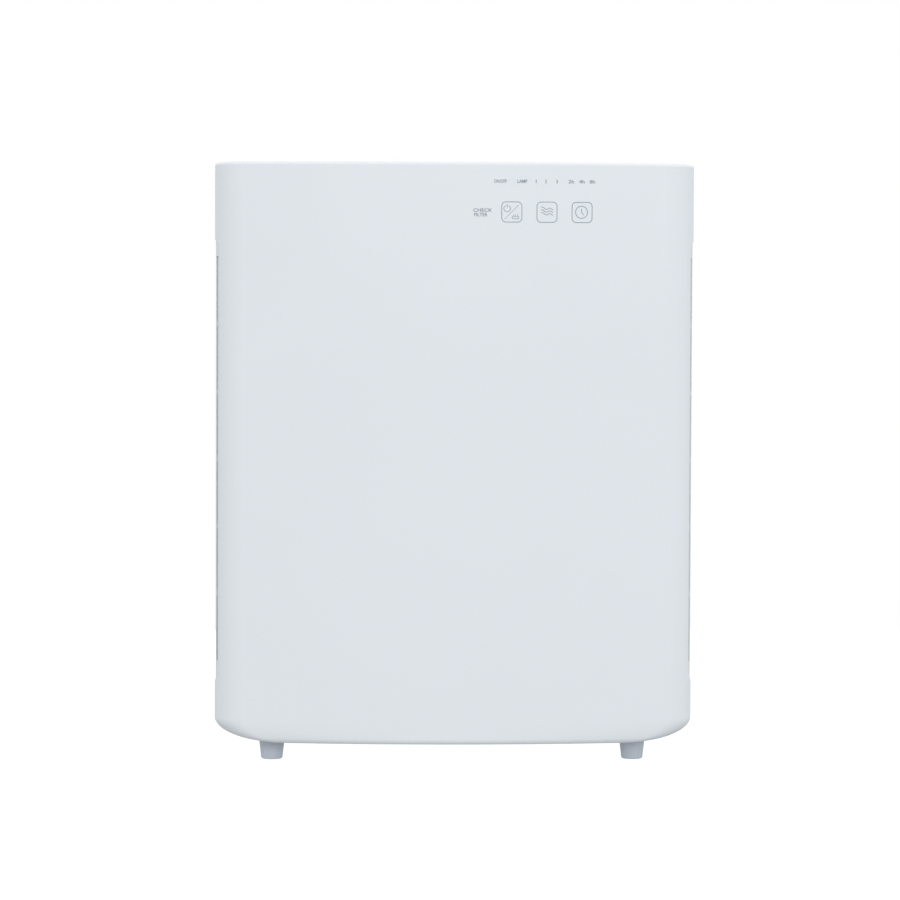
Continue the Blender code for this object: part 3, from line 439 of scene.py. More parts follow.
def finished(bm, name, material, outward=None):
    """The mesh as a piece. outward is a test point outside the nearest face, or None for a closed form."""
    if outward is None:
        bmesh.ops.recalc_face_normals(bm, faces=bm.faces)
        if bm.calc_volume(signed=True) < 0:
            bmesh.ops.reverse_faces(bm, faces=bm.faces)
    else:
        outward = Vector(outward)
        nearest = min(bm.faces, key=lambda face: (face.calc_center_median() - outward).length)
        if nearest.normal.dot(outward - nearest.calc_center_median()) < 0:
            bmesh.ops.reverse_faces(bm, faces=bm.faces)
    mesh = bpy.data.meshes.new(name)
    bm.to_mesh(mesh)
    bm.free()
    return new_piece(name, mesh, material)


def turned(name, profile, centre, material, sides=64, axis="Y"):
    """A closed (radius, distance along the axis) profile turned about a line through centre."""
    rows = []
    for radius, along in profile + profile[:1]:
        ring = []
        for i in range(sides):
            a = 2 * math.pi * i / sides
            u, v = radius * math.cos(a), radius * math.sin(a)
            ring.append({"X": (along, u, v), "Y": (u, along, v), "Z": (u, v, along)}[axis])
        rows.append(ring)
    bm = skin(rows, closed=True)
    bmesh.ops.translate(bm, verts=bm.verts, vec=centre)
    piece = finished(bm, name, material)
    piece.data.shade_smooth()
    piece.data.set_sharp_from_angle(angle=math.radians(40))
    return piece


def rounded(points, radius, steps=5):
    """A convex outline with its corners turned into arcs."""
    made = []
    count = len(points)
    for i, point in enumerate(points):
        here = Vector(point)
        back = (Vector(points[i - 1]) - here).normalized()
        on = (Vector(points[(i + 1) % count]) - here).normalized()
        half = back.angle(on) / 2
        reach = radius / math.tan(half)
        centre = here + (back + on).normalized() * radius / math.sin(half)
        start = here + back * reach - centre
        turn = start.angle_signed(here + on * reach - centre)
        for k in range(steps + 1):
            a = -turn * k / steps
            turn_cos, turn_sin = math.cos(a), math.sin(a)
            spun = Vector((start.x * turn_cos - start.y * turn_sin, start.x * turn_sin + start.y * turn_cos))
            made.append(tuple(centre + spun))
    return made


def circle(u, v, radius, sides=32):
    angles = [2 * math.pi * i / sides for i in range(sides)]
    return [(u + radius * math.cos(a), v + radius * math.sin(a)) for a in angles]


def box_outline(low_u, high_u, low_v, high_v, radius, steps=5):
    return rounded([(low_u, low_v), (high_u, low_v), (high_u, high_v), (low_u, high_v)], radius, steps)


def window(bm, outline, axis, side):
    """Cuts a convex outline into the skin along an axis, on the side where the test is true, and gives its faces."""
    u, v = {"X": (1, 2), "Y": (0, 2), "Z": (0, 1)}[axis]
    inside = [face for face in bm.faces if side(face.calc_center_median())]
    centre = Vector((sum(p[0] for p in outline) / len(outline), sum(p[1] for p in outline) / len(outline)))
    for a, b in zip(outline, outline[1:] + outline[:1]):
        normal = Vector((b[1] - a[1], a[0] - b[0]))
        if normal.dot(centre - Vector(a)) > 0:
            normal.negate()
        point, across = Vector((0, 0, 0)), Vector((0, 0, 0))
        point[u], point[v] = a
        across[u], across[v] = normal
        geometry = set(inside)
        for face in inside:
            geometry.update(face.edges)
            geometry.update(face.verts)
        cut = bmesh.ops.bisect_plane(bm, geom=list(geometry), dist=1e-7, plane_co=point, plane_no=across)
        faces = [part for part in cut["geom"] if isinstance(part, bmesh.types.BMFace)]
        inside = [face for face in faces if (face.calc_center_median() - point).dot(across) < 0]
    return inside


# The two trays, front cover and rear housing, share one form: a face with a skirt behind it


def tray_section(half, corner, bow):
    """(x, distance behind the face) over the face and both its long corners, down to where the skirt starts."""
    flat = half - corner
    lean = math.asin(flat / (bow - corner)) if bow else 0.0
    centre = bow - (bow - corner) * math.cos(lean) if bow else corner
    right = []
    for i in range(15):
        a = math.pi / 2 + (lean - math.pi / 2) * i / 14
        right.append((flat + corner * math.sin(a), centre - corner * math.cos(a)))
    for i in range(1, 20):
        a = lean * (1 - i / 20)
        right.append((bow * math.sin(a), bow - bow * math.cos(a)) if bow else (flat * (1 - i / 20), 0.0))
    return right + [(0.0, 0.0)] + [(-x, d) for x, d in reversed(right)]


def between(one, other, share):
    return [tuple(Vector(p).lerp(Vector(q), share)) for p, q in zip(one, other)]


def tray_skin(section, half, low, high, inset, front, rim, bottom_edge, top_edge):
    """The tray's outer skin, open at the rim, with round bottom corners that are wider than they are high."""
    back = 1 if rim > front else -1
    width, rise = CORNER_WIDTH - inset, CORNER_RISE - inset
    rings = []
    for i in range(25):
        a = math.pi / 2 * i / 24
        up = rise * (1 - math.cos(a))
        face_in = bottom_edge - math.sqrt(bottom_edge**2 - max(bottom_edge - up, 0.0) ** 2)
        rings.append((low + up, width * (1 - math.sin(a)), face_in))
    for i in range(1, 12):
        rings.append((low + rise + (high - top_edge - low - rise) * i / 12, 0.0, 0.0))
    for i in range(9):
        a = math.pi / 2 * i / 8
        eased_in = top_edge * (1 - math.cos(a))
        rings.append((high - top_edge * (1 - math.sin(a)), eased_in, eased_in))
    steps = 4
    rows = []
    for z, side_in, face_in in rings:
        squeeze = (half - side_in) / half
        shape = [(x * squeeze, front + back * (depth + face_in), z) for x, depth in section]
        (first_x, first_y, _), (last_x, last_y, _) = shape[0], shape[-1]
        skirt = [(first_x, rim + (first_y - rim) * i / steps, z) for i in range(steps)]
        other_skirt = [(last_x, last_y + (rim - last_y) * i / steps, z) for i in range(1, steps + 1)]
        rows.append((skirt, shape, other_skirt))
    bottom, top = rows[0][1], rows[-1][1]
    below = [(x, rim, z) for x, _, z in bottom]
    above = [(x, rim, z) for x, _, z in top]
    bm = skin([skirt + shape + other for skirt, shape, other in rows])
    for lines in (
        [between(below, bottom, i / steps) for i in range(steps + 1)],
        [between(top, above, i / steps) for i in range(steps + 1)],
    ):
        add_skin(bm, lines)
    bmesh.ops.remove_doubles(bm, verts=bm.verts, dist=1e-6)
    bmesh.ops.recalc_face_normals(bm, faces=bm.faces)
    return bm


def notch_outline():
    """The long side notch as (y, z): its ends slant, and its front corners are round."""
    (_, front, low), (_, _, high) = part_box("intake_grille_left")
    clearance, slant, past = 1 * MM, 17 * MM, 6 * MM
    front, low, high = front - clearance, low - clearance, high + clearance
    slope = slant / (RIM_Y - front)
    back = RIM_Y + past
    corners = [
        (back, low - past * slope),
        (front, low + slant),
        (front, high - slant * 0.6),
        (back, high + past * slope * 0.6),
    ]
    return rounded(corners, 3 * MM, 6)


def face_y(x):
    """Where the cover's bowed face is, at a distance x from the middle."""
    return FACE_Y + BOW - math.sqrt(BOW**2 - x**2)


def add_solid(bm, outline, low, high, axis="Z"):
    """A closed prism on an outline. low and high are numbers, or functions of the outline's second coordinate."""
    rows = []
    for end in (low, high):
        row = []
        for u, v in outline:
            w = end(v) if callable(end) else end
            row.append({"X": (w, u, v), "Y": (u, w, v), "Z": (u, v, w)}[axis])
        rows.append(row)
    lines = [[bm.verts.new(point) for point in row] for row in rows]
    count = len(outline)
    faces = [bm.faces.new(lines[0]), bm.faces.new(lines[1][::-1])]
    for i in range(count):
        j = (i + 1) % count
        faces.append(bm.faces.new((lines[0][j], lines[0][i], lines[1][i], lines[1][j])))
    bmesh.ops.recalc_face_normals(bm, faces=faces)


def solid(name, outline, low, high, material, axis="Z"):
    bm = bmesh.new()
    add_solid(bm, outline, low, high, axis)
    return finished(bm, name, material)


# Cover


def make_cover():
    section = tray_section(COVER_HALF, CORNER, BOW)
    bm = tray_skin(section, COVER_HALF, COVER_LOW, COVER_HIGH, 0.0, FACE_Y, RIM_Y, BOTTOM_EDGE, TOP_EDGE)
    outline = notch_outline()
    for sign in (-1, 1):
        hole = window(bm, outline, "X", lambda p, s=sign: p.x * s > 0.15)
        bmesh.ops.delete(bm, geom=hole, context="FACES")
    shell = finished(bm, "cover_shell", GLOSS_ABS, outward=(0, FACE_Y - 0.1, 0.25))
    shell = eased(walled(shell, COVER_WALL), 0.5 * MM, 50.0, 3)
    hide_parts("front_cover")
    ride(shell, "cover")


def make_cover_inside():
    """Studs that snap into the bushes, the post that holds the switch in, and stiffening ribs."""
    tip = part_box("front_cover")[1][1]
    bushes = [node for node in frame["nodes"] if node.startswith("cover_socket")]
    radius, root = 2.5 * MM, 26 * MM
    ball = [
        (0.0, tip),
        (radius * 0.6, tip),
        (radius, tip - 1.2 * MM),
        (radius, tip - 2.6 * MM),
        (radius * 0.8, tip - 3.8 * MM),
        (radius, tip - 5 * MM),
        (radius * 1.3, tip - root),
        (radius * 1.9, tip - root - 8 * MM),
        (0.0, tip - root - 8 * MM),
    ]
    centres = [middle(node) for node in bushes]
    template = turned("stud", ball, (0, 0, 0), INNER_ABS, 24)
    studs = copies("cover_studs", template, [(c.x, 0, c.z) for c in centres], INNER_ABS)
    studs.data.shade_smooth()
    ride(studs, "cover")
    place = middle("switch_plunger")
    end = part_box("switch_plunger")[0][1] - 0.3 * MM
    start = face_y(place.x) + COVER_WALL / 2
    post = [(0.0, end), (1.4 * MM, end), (2 * MM, end - 0.6 * MM), (2.6 * MM, start), (0.0, start)]
    ride(turned("switch_post", post, (place.x, 0, place.z), INNER_ABS, 24), "cover")
    bm = bmesh.new()
    reach, thick, steps = 0.150, 0.6 * MM, 20
    xs = [-reach + 2 * reach * i / steps for i in range(steps + 1)]
    for z in (0.075, 0.145, 0.215, 0.285, 0.355):
        front = [(x, face_y(x) + COVER_WALL * 0.6) for x in xs]
        back = [(x, face_y(x) + COVER_WALL + 3.2 * MM) for x in xs]
        add_solid(bm, front + back[::-1], z - thick, z + thick)
    ride(eased(finished(bm, "cover_ribs", INNER_ABS), 0.25 * MM), "cover")


# Printed marks, drawn as ribbons that follow the cover's bow


def stroke(marks, points, width=LINE, closed=False):
    """A line of even width through (x, z) points, with mitred corners, as a list of quads."""
    count = len(points)
    left, right = [], []
    for i, point in enumerate(points):
        here = Vector(point)
        before = Vector(points[i - 1]) if i or closed else None
        after = Vector(points[(i + 1) % count]) if i < count - 1 or closed else None
        into = (here - before).normalized() if before is not None else (after - here).normalized()
        onto = (after - here).normalized() if after is not None else into
        along = (into + onto).normalized()
        side = Vector((-along.y, along.x)) * width / 2 / max(along.dot(into), 0.4)
        left.append(here + side)
        right.append(here - side)
    for i in range(count if closed else count - 1):
        j = (i + 1) % count
        marks.append([left[i], right[i], right[j], left[j]])


def arc_points(x, z, radius, start, end, steps=24):
    angles = [math.radians(start + (end - start) * i / steps) for i in range(steps + 1)]
    return [(x + radius * math.cos(a), z + radius * math.sin(a)) for a in angles]


def lettering(marks, words, x, z, width, height):
    """Generic words set to a width and a cap height, centred on (x, z)."""
    font = bpy.data.curves.new(words, "FONT")
    font.body = words
    font.fill_mode = "FRONT"
    font.offset = 0.02
    font.resolution_u = 3
    piece = bpy.data.objects.new(words, font)
    bpy.context.scene.collection.objects.link(piece)
    bpy.context.view_layer.update()
    mesh = bpy.data.meshes.new_from_object(piece.evaluated_get(bpy.context.evaluated_depsgraph_get()))
    bpy.data.objects.remove(piece)
    xs = [v.co.x for v in mesh.vertices]
    ys = [v.co.y for v in mesh.vertices]
    across, up = width / (max(xs) - min(xs)), height / (max(ys) - min(ys))
    mid_x, mid_y = (max(xs) + min(xs)) / 2, (max(ys) + min(ys)) / 2
    spots = [Vector((x + (v.co.x - mid_x) * across, z + (v.co.y - mid_y) * up)) for v in mesh.vertices]
    for face in mesh.polygons:
        marks.append([spots[i] for i in face.vertices])
    bpy.data.meshes.remove(mesh)


def printed(name, marks, ink):
    """The marks as a film of ink a few hundredths of a millimetre thick, on the bowed face."""
    bm = bmesh.new()
    for mark in marks:
        bm.faces.new([bm.verts.new((p.x, face_y(p.x) - PRINT_LIFT, p.y)) for p in mark])
    bmesh.ops.remove_doubles(bm, verts=bm.verts, dist=1e-6)
    for face in bm.faces:
        face.normal_update()
        if face.normal.y > 0:
            face.normal_flip()
    mesh = bpy.data.meshes.new(name)
    bm.to_mesh(mesh)
    bm.free()
    film = walled(new_piece(name, mesh, ink), PRINT_LIFT * 1.4, even=False)
    ride(film, "cover")


def make_prints():
    keys = [middle(f"touch_spring_{key}") for key in ("power", "speed", "timer")]
    xs = [spring.x + KEYS_ASIDE for spring in keys]
    z = KEYS_HIGH
    half = KEY_SIDE / 2
    frames = []
    for x in xs:
        stroke(frames, box_outline(x - half, x + half, z - half, z + half, KEY_ROUND, 8), closed=True)
    printed("key_frames", frames, GREY_INK)

    marks = []
    x = xs[0]
    power = (x - 3.6 * MM, z + 2.6 * MM)
    stroke(marks, arc_points(*power, 2.5 * MM, 118, 422), LINE * 0.8)
    stroke(marks, [(power[0], power[1] + 0.6 * MM), (power[0], power[1] + 3.4 * MM)], LINE * 0.8)
    stroke(marks, [(x - 5.4 * MM, z - 5.4 * MM), (x + 5.2 * MM, z + 5.4 * MM)], LINE * 0.6)
    lamp = (x + 2.8 * MM, z - 4.2 * MM)
    wide, tall = 2.6 * MM, 0.9 * MM
    tube = box_outline(lamp[0] - wide, lamp[0] + wide, lamp[1] - tall, lamp[1] + tall, 0.85 * MM, 6)
    stroke(marks, tube, LINE * 0.8, True)
    for i in (-1, 0, 1):
        foot = lamp[0] + i * 1.6 * MM
        stroke(marks, [(foot, lamp[1] + 1.5 * MM), (foot, lamp[1] + 2.3 * MM)], LINE * 0.8)
    x = xs[1]
    for row in (-1, 0, 1):
        steps, length, swing = 24, 9 * MM, 0.7 * MM
        wave = []
        for i in range(steps + 1):
            share = i / steps
            up = swing * math.sin(2 * math.pi * (1.5 * share + 0.1)) - 1.2 * MM * (share - 0.5)
            wave.append((x + length * (share - 0.5), z + 0.6 * MM + row * 2.1 * MM + up))
        stroke(marks, wave, LINE * 0.9)
    x = xs[2]
    dial = (x - 0.4 * MM, z + 0.1 * MM)
    stroke(marks, circle(*dial, 4.6 * MM, 40), closed=True)
    stroke(marks, [(dial[0], dial[1] + 2.8 * MM), dial, (dial[0] + 1.8 * MM, dial[1] - 2.2 * MM)], LINE * 0.9)
    printed("key_symbols", marks, GREY_INK)

    words = []
    row = z + 23.4 * MM
    cap = 2.7 * MM
    lettering(words, "ON/OFF", xs[0] - 8.8 * MM, row, 9.8 * MM, cap)
    lettering(words, "LAMP", xs[0] + 8.0 * MM, row, 7.6 * MM, cap)
    for digit, place in zip("123", (18.5, 26.0, 34.5)):
        lettering(words, digit, xs[0] + place * MM, row, (0.7 if digit == "1" else 1.4) * MM, cap)
    for hours, place in zip(("2h", "4h", "8h"), (45.4, 53.6, 61.6)):
        lettering(words, hours, xs[0] + place * MM, row, 4.4 * MM, cap)
    lettering(words, "CHECK", xs[0] - 22.2 * MM, z + 1.3 * MM, 14.4 * MM, cap)
    lettering(words, "FILTER", xs[0] - 23.6 * MM, z - 2.1 * MM, 10.2 * MM, cap)
    printed("key_words", words, GREY_INK)


# Side intakes


def make_intake(side, sign):
    """A strip with three long slots that follows the cover's corner a little further in, over ribs set behind."""
    node = f"intake_grille_{side}"
    (_, front, low), (_, back, high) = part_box(node)
    outer = CORNER - HOUSING_INSET
    thick = 2.2 * MM
    flat = COVER_HALF - CORNER
    lean = math.asin(flat / (BOW - CORNER))
    centre_y = FACE_Y + BOW - (BOW - CORNER) * math.cos(lean)

    def spot(y, inward):
        rise = min(y - centre_y, 0.0)
        reach = outer - inward
        turn = math.asin(max(rise / outer, -1.0))
        if y > centre_y:
            return (sign * (flat + reach), y)
        return (sign * (flat + reach * math.cos(turn)), centre_y + reach * math.sin(turn))

    def outline(first, last, inward, depth):
        ys = [first + (last - first) * i / 6 for i in range(7)]
        return [spot(y, inward) for y in ys] + [spot(y, depth) for y in reversed(ys)]

    slant = 17 * MM
    slope = slant / (back - front)

    def start(y):
        return low + slope * max(back - y, 0.0)

    def stop(y):
        return high - 0.6 * slope * max(back - y, 0.0)

    slots = [(-0.0640, -0.0600), (-0.0570, -0.0530), (-0.0505, -0.0470)]
    first_z, last_z = start(front) + 8 * MM, stop(front) - 8 * MM
    bm = bmesh.new()
    edges = [front] + [y for slot in slots for y in slot] + [back]
    for y0, y1 in zip(edges[::2], edges[1::2]):
        add_solid(bm, outline(y0, y1, 0.0, thick), first_z, last_z)
    add_solid(bm, outline(front, back, 0.0, thick), start, first_z)
    add_solid(bm, outline(front, back, 0.0, thick), last_z, stop)
    bars = eased(finished_as_is(bm, f"intake_bars_{side}", SATIN_ABS), 0.3 * MM)
    rib = solid("rib", outline(front + 0.5 * MM, back - 0.5 * MM, 1.0 * MM, thick - 0.1 * MM), 0.0, 3 * MM, SATIN_ABS)
    pitch = (last_z - first_z) / 6
    ribs = copies(
        f"intake_ribs_{side}", rib, [(0, 0, first_z + pitch * i - 1.5 * MM) for i in range(1, 6)], SATIN_ABS
    )
    for piece in (bars, ribs):
        ride(piece, "main_body")
    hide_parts(node)


# Rear


def make_rear():
    section = tray_section(REAR_HALF, REAR_CORNER, None)
    edge, top_edge, clear = 3 * MM, 1.2 * MM, 0.3 * MM
    bm = tray_skin(section, REAR_HALF, REAR_LOW, REAR_HIGH, HOUSING_INSET, BACK_Y, REAR_RIM_Y, edge, top_edge)
    (cup_l, _, cup_b), (cup_r, _, cup_t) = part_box("handle_cup")
    flange = 3.5 * MM
    pocket = (cup_l + flange - clear, cup_r - flange + clear, cup_b + flange - clear, cup_t - flange + clear)
    (inlet_l, _, inlet_b), (inlet_r, _, inlet_t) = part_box("mains_inlet")
    inlet = (inlet_l - clear, inlet_r + clear, inlet_b - clear, inlet_t + clear)
    (label_l, label_y, label_b), (label_r, _, label_t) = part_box("rating_label")
    label = (label_l - clear, label_r + clear, label_b - clear, label_t + clear)
    (vent_l, vent_f, _), (vent_r, vent_k, _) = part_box("top_grille")
    vent = (vent_l - clear, vent_r + clear, vent_f - clear, vent_k + clear)
    screws = [middle(f"rear_screw_{i}") for i in range(1, 7)]
    bore = 4.3 * MM
    cuts = [
        (box_outline(*pocket, 7 * MM, 8), "Y", lambda p: p.y > 0.08),
        (box_outline(*inlet, 1.2 * MM), "Y", lambda p: p.y > 0.08),
        (box_outline(*label, 2.5 * MM), "Y", lambda p: p.y > 0.08),
        (box_outline(*vent, 1.5 * MM), "Z", lambda p: p.z > 0.455),
    ]
    cuts += [(circle(place.x, place.z, bore), "Y", lambda p: p.y > 0.075) for place in screws]
    for outline, axis, side in cuts:
        bmesh.ops.delete(bm, geom=window(bm, outline, axis, side), context="FACES")
    bmesh.ops.dissolve_limit(
        bm, angle_limit=math.radians(0.5), verts=bm.verts, edges=bm.edges, use_dissolve_boundaries=False
    )
    shell = finished(bm, "rear_shell", SATIN_ABS, outward=(0, BACK_Y + 0.1, 0.25))
    shell = eased(walled(shell, REAR_WALL), 0.4 * MM, 50.0, 3)
    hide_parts("rear_housing")
    ride(shell, "main_body")

    seat, end = 40 * MM, BACK_Y - 3.0 * MM
    start = REAR_RIM_Y + 0.3 * MM
    tube = [(bore, seat), (bore, end), (5.8 * MM, end), (5.8 * MM, start), (2.1 * MM, start), (2.1 * MM, seat)]
    wells = copies(
        "screw_wells", turned("well", tube, (0, 0, 0), INNER_ABS, 32), [(p.x, 0, p.z) for p in screws], INNER_ABS
    )
    ride(wells, "main_body")

    seat_plate = box_outline(label[0] - MM, label[1] + MM, label[2] - MM, label[3] + MM, 3 * MM)
    ride(solid("label_seat", seat_plate, BACK_Y - 2.3 * MM, label_y - 0.2 * MM, SATIN_ABS, "Y"), "main_body")
    film = solid(
        "blank_rating_label",
        box_outline(label_l, label_r, label_b, label_t, 2.2 * MM),
        label_y,
        label_y + 0.4 * MM,
        LABEL_FILM,
        "Y",
    )
    film = eased(film, 0.12 * MM)
    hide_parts("rating_label")
    ride(film, "main_body")


def make_screws():
    """Pan-head screws with a cross recess, at the bottom of their wells."""
    (_, tip, _), (_, head_top, _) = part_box("rear_screw_1")
    seat = 40.3 * MM
    arm, half = 1.9 * MM, 0.5 * MM
    quarter = [(arm, half), (half, half), (half, arm)]
    cross = []
    for turn in range(4):
        for u, v in quarter:
            for _ in range(turn):
                u, v = -v, u
            cross.append((u, v))

    def ring(radius, y):
        return [(radius * math.cos(a), y, radius * math.sin(a)) for a in [math.radians(15 + 30 * i) for i in range(12)]]

    rows = [
        [(u * 0.5, head_top - 1.5 * MM, v * 0.5) for u, v in cross],
        [(u, head_top, v) for u, v in cross],
        ring(2.6 * MM, head_top - 0.05 * MM),
        ring(3.3 * MM, head_top - 0.5 * MM),
        ring(3.7 * MM, head_top - 1.1 * MM),
        ring(3.7 * MM, seat),
        ring(1.6 * MM, seat),
        ring(1.6 * MM, tip + 2 * MM),
        ring(0.3 * MM, tip),
    ]
    bm = skin(rows, closed=True)
    bmesh.ops.holes_fill(bm, edges=[e for e in bm.edges if e.is_boundary])
    template = finished(bm, "screw", ZINC_STEEL)
    places = [middle(f"rear_screw_{i}") for i in range(1, 7)]
    screws = copies("rear_screws", template, [(p.x, 0, p.z) for p in places], ZINC_STEEL)
    screws = eased(screws, 0.12 * MM)
    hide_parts(*[f"rear_screw_{i}" for i in range(1, 7)])
    ride(screws, "main_body")


def make_handle_cup():
    """A pocket for the fingers, with a rounded mouth, drafted walls and a floor that runs into them."""
    (left, floor_y, low), (right, mouth_y, high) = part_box("handle_cup")
    flange = 3.5 * MM
    left, right, low, high = left + flange, right - flange, low + flange, high - flange
    wall = 2.2 * MM

    def ring(inset, y, radius):
        outline = box_outline(left + inset, right - inset, low + inset, high - inset, radius, 8)
        return [(u, y, v) for u, v in outline]

    corner = 6.7 * MM
    fillet = 4 * MM
    rows = [ring(0.0, mouth_y - 5 * MM, corner), ring(0.0, mouth_y - 0.6 * MM, corner)]
    rows += [ring(0.25 * MM, mouth_y - 0.15 * MM, corner), ring(0.8 * MM, mouth_y, corner - 0.8 * MM)]
    rows += [ring(1.8 * MM, mouth_y, corner - 1.8 * MM), ring(2.6 * MM, mouth_y - 0.5 * MM, corner - 2.6 * MM)]
    inside = floor_y + wall
    for i in range(7):
        a = math.pi / 2 * i / 6
        inset = 3.2 * MM + fillet * (1 - math.cos(a))
        rows.append(ring(inset, inside + fillet * (1 - math.sin(a)), max(corner - inset, 2.2 * MM)))
    rows.append(ring(20 * MM, inside, 2 * MM))
    under = [ring(20 * MM, floor_y, 2 * MM), ring(5 * MM, floor_y, 3 * MM), ring(1.2 * MM, floor_y + 4 * MM, corner)]
    bm = bmesh.new()
    add_skin(bm, rows, closed=True)
    add_skin(bm, under + [rows[0]], closed=True)
    bmesh.ops.remove_doubles(bm, verts=bm.verts, dist=1e-6)
    bmesh.ops.holes_fill(bm, edges=[e for e in bm.edges if e.is_boundary])
    cup = finished(bm, "handle_pocket", SATIN_ABS)
    cup.data.shade_smooth()
    cup.data.set_sharp_from_angle(angle=math.radians(50))
    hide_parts("handle_cup")
    ride(cup, "main_body")


def make_top_grille():
    """A louvre of tilted slats on four ribs, in a thin frame."""
    (left, front, low), (right, back, high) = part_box("top_grille")
    count, rim = 6, 2 * MM
    sizes = {
        "Length": right - left - rim,
        "Thickness": 1.4 * MM,
        "Depth": 5.4 * MM,
        "Pitch": (back - front - 2 * rim) / count,
        "Slats": count,
        "Tilt": math.radians(28),
        "First": front + rim + (back - front - 2 * rim) / count / 2,
        "Height": (low + high) / 2,
    }
    tree, given = tree_with("outlet_slats", sizes)
    slat = add_node(
        tree,
        "GeometryNodeMeshCube",
        inputs={"Size": vector(tree, given["Length"], given["Thickness"], given["Depth"])},
    )
    line = add_node(
        tree,
        "GeometryNodeMeshLine",
        inputs={
            "Count": given["Slats"],
            "Start Location": vector(tree, 0.0, given["First"], given["Height"]),
            "Offset": vector(tree, 0.0, given["Pitch"]),
        },
    )
    turn = vector(tree, given["Tilt"])
    inputs = {"Points": line.outputs[0], "Instance": slat.outputs["Mesh"], "Rotation": turn}
    spread = add_node(tree, "GeometryNodeInstanceOnPoints", inputs=inputs).outputs[0]
    slats = grown(tree, spread, sizes, SATIN_ABS)
    slats = eased(slats, 0.45 * MM, segments=3)
    outline = box_outline(-1 * MM, MM, front + MM, back - MM, 0.4 * MM)
    rib = solid("rib", outline, low + 0.4 * MM, high - 1.4 * MM, SATIN_ABS)
    ribs = copies("outlet_ribs", rib, [(x, 0, 0) for x in (-0.09, -0.03, 0.03, 0.09)], SATIN_ABS)
    rings = []
    outside = [(0.0, low), (0.0, high - 0.4 * MM), (0.4 * MM, high)]
    inside = [(rim - 0.3 * MM, high), (rim, high - 0.5 * MM), (rim, low)]
    for inset, z in outside + inside:
        corner = 1.3 * MM if inset < MM else 0.6 * MM
        outline = box_outline(left + inset, right - inset, front + inset, back - inset, corner)
        rings.append([(u, v, z) for u, v in outline])
    border = finished(skin(rings + rings[:1], closed=True), "outlet_frame", SATIN_ABS)
    border.data.shade_smooth()
    border.data.set_sharp_from_angle(angle=math.radians(40))
    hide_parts("top_grille")
    for piece in (slats, ribs, border):
        ride(piece, "main_body")


def make_feet():
    """Turned rubber feet with a soft bottom edge and a shallow hollow underneath."""
    nodes = [node for node in frame["nodes"] if node.startswith("foot_")]
    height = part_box(nodes[0])[1][2]
    top, bottom, ease = 10.1 * MM, 8.4 * MM, 1.6 * MM
    profile = [(0.0, 0.5 * MM), (3.6 * MM, 0.5 * MM), (4.2 * MM, 0.0), (bottom - ease, 0.0)]
    for i in range(1, 7):
        a = math.pi / 2 * i / 6
        profile.append((bottom - ease + ease * math.sin(a), ease * (1 - math.cos(a))))
    profile += [(top - 0.25 * MM, height * 0.80), (top, height * 0.86), (top, height), (0.0, height)]
    template = turned("foot", profile, (0, 0, 0), RUBBER, 40, "Z")
    places = [(middle(node).x, middle(node).y, 0) for node in nodes]
    feet = copies("feet", template, places, RUBBER)
    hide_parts(*nodes)
    ride(feet, "main_body")


# Filters


def honeycomb(name, node, across, depth_in, wall, material, body):
    """Six-sided paper cells that fill the node's box."""
    low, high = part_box(node)
    wide, tall = high[0] - low[0], high[2] - low[2]
    columns = round((wide / (across / math.sqrt(3)) - 0.5) / 1.5)
    rows = round(tall / across - 0.5)
    sizes = {
        "Cell Radius": wide / (1.5 * columns + 0.5),
        "Cell Depth": high[1] - low[1] - depth_in,
        "Columns": columns,
        "Rows": rows,
        "Row Pitch": tall / (rows + 0.5),
    }
    tree, given = tree_with(name, sizes)
    cell = add_node(
        tree,
        "GeometryNodeMeshCylinder",
        {"fill_type": "NONE"},
        {"Vertices": 6, "Radius": given["Cell Radius"], "Depth": given["Cell Depth"]},
    )
    spacing = product(tree, given["Cell Radius"], 1.5)
    column_line = add_node(
        tree,
        "GeometryNodeMeshLine",
        inputs={"Count": given["Columns"], "Start Location": vector(tree, given["Cell Radius"]), "Offset": vector(tree, spacing)},
    )
    index = add_node(tree, "GeometryNodeInputIndex").outputs[0]
    odd = add_node(tree, "ShaderNodeMath", {"operation": "MODULO"}, {0: index, 1: 2.0}).outputs[0]
    half_pitch = product(tree, given["Row Pitch"], 0.5)
    shift = vector(tree, 0.0, 0.0, product(tree, odd, half_pitch))
    staggered = add_node(
        tree, "GeometryNodeSetPosition", inputs={"Geometry": column_line.outputs[0], "Offset": shift}
    )
    row_line = add_node(
        tree,
        "GeometryNodeMeshLine",
        inputs={
            "Count": given["Rows"],
            "Start Location": vector(tree, 0.0, 0.0, half_pitch),
            "Offset": vector(tree, 0.0, 0.0, given["Row Pitch"]),
        },
    )
    upright = vector(tree, math.pi / 2)
    column = add_node(
        tree,
        "GeometryNodeInstanceOnPoints",
        inputs={"Points": row_line.outputs[0], "Instance": cell.outputs["Mesh"], "Rotation": upright},
    )
    block = add_node(
        tree,
        "GeometryNodeInstanceOnPoints",
        inputs={"Points": staggered.outputs[0], "Instance": column.outputs[0]},
    )
    cells = grown(tree, block.outputs[0], sizes, material)
    cells.data.transform(Matrix.Translation((low[0], (low[1] + high[1]) / 2, low[2])))
    solidify = cells.modifiers.new("paper", "SOLIDIFY")
    solidify.thickness = wall
    solidify.offset = -1.0
    settled(cells)
    ride(cells, body)
    return cells


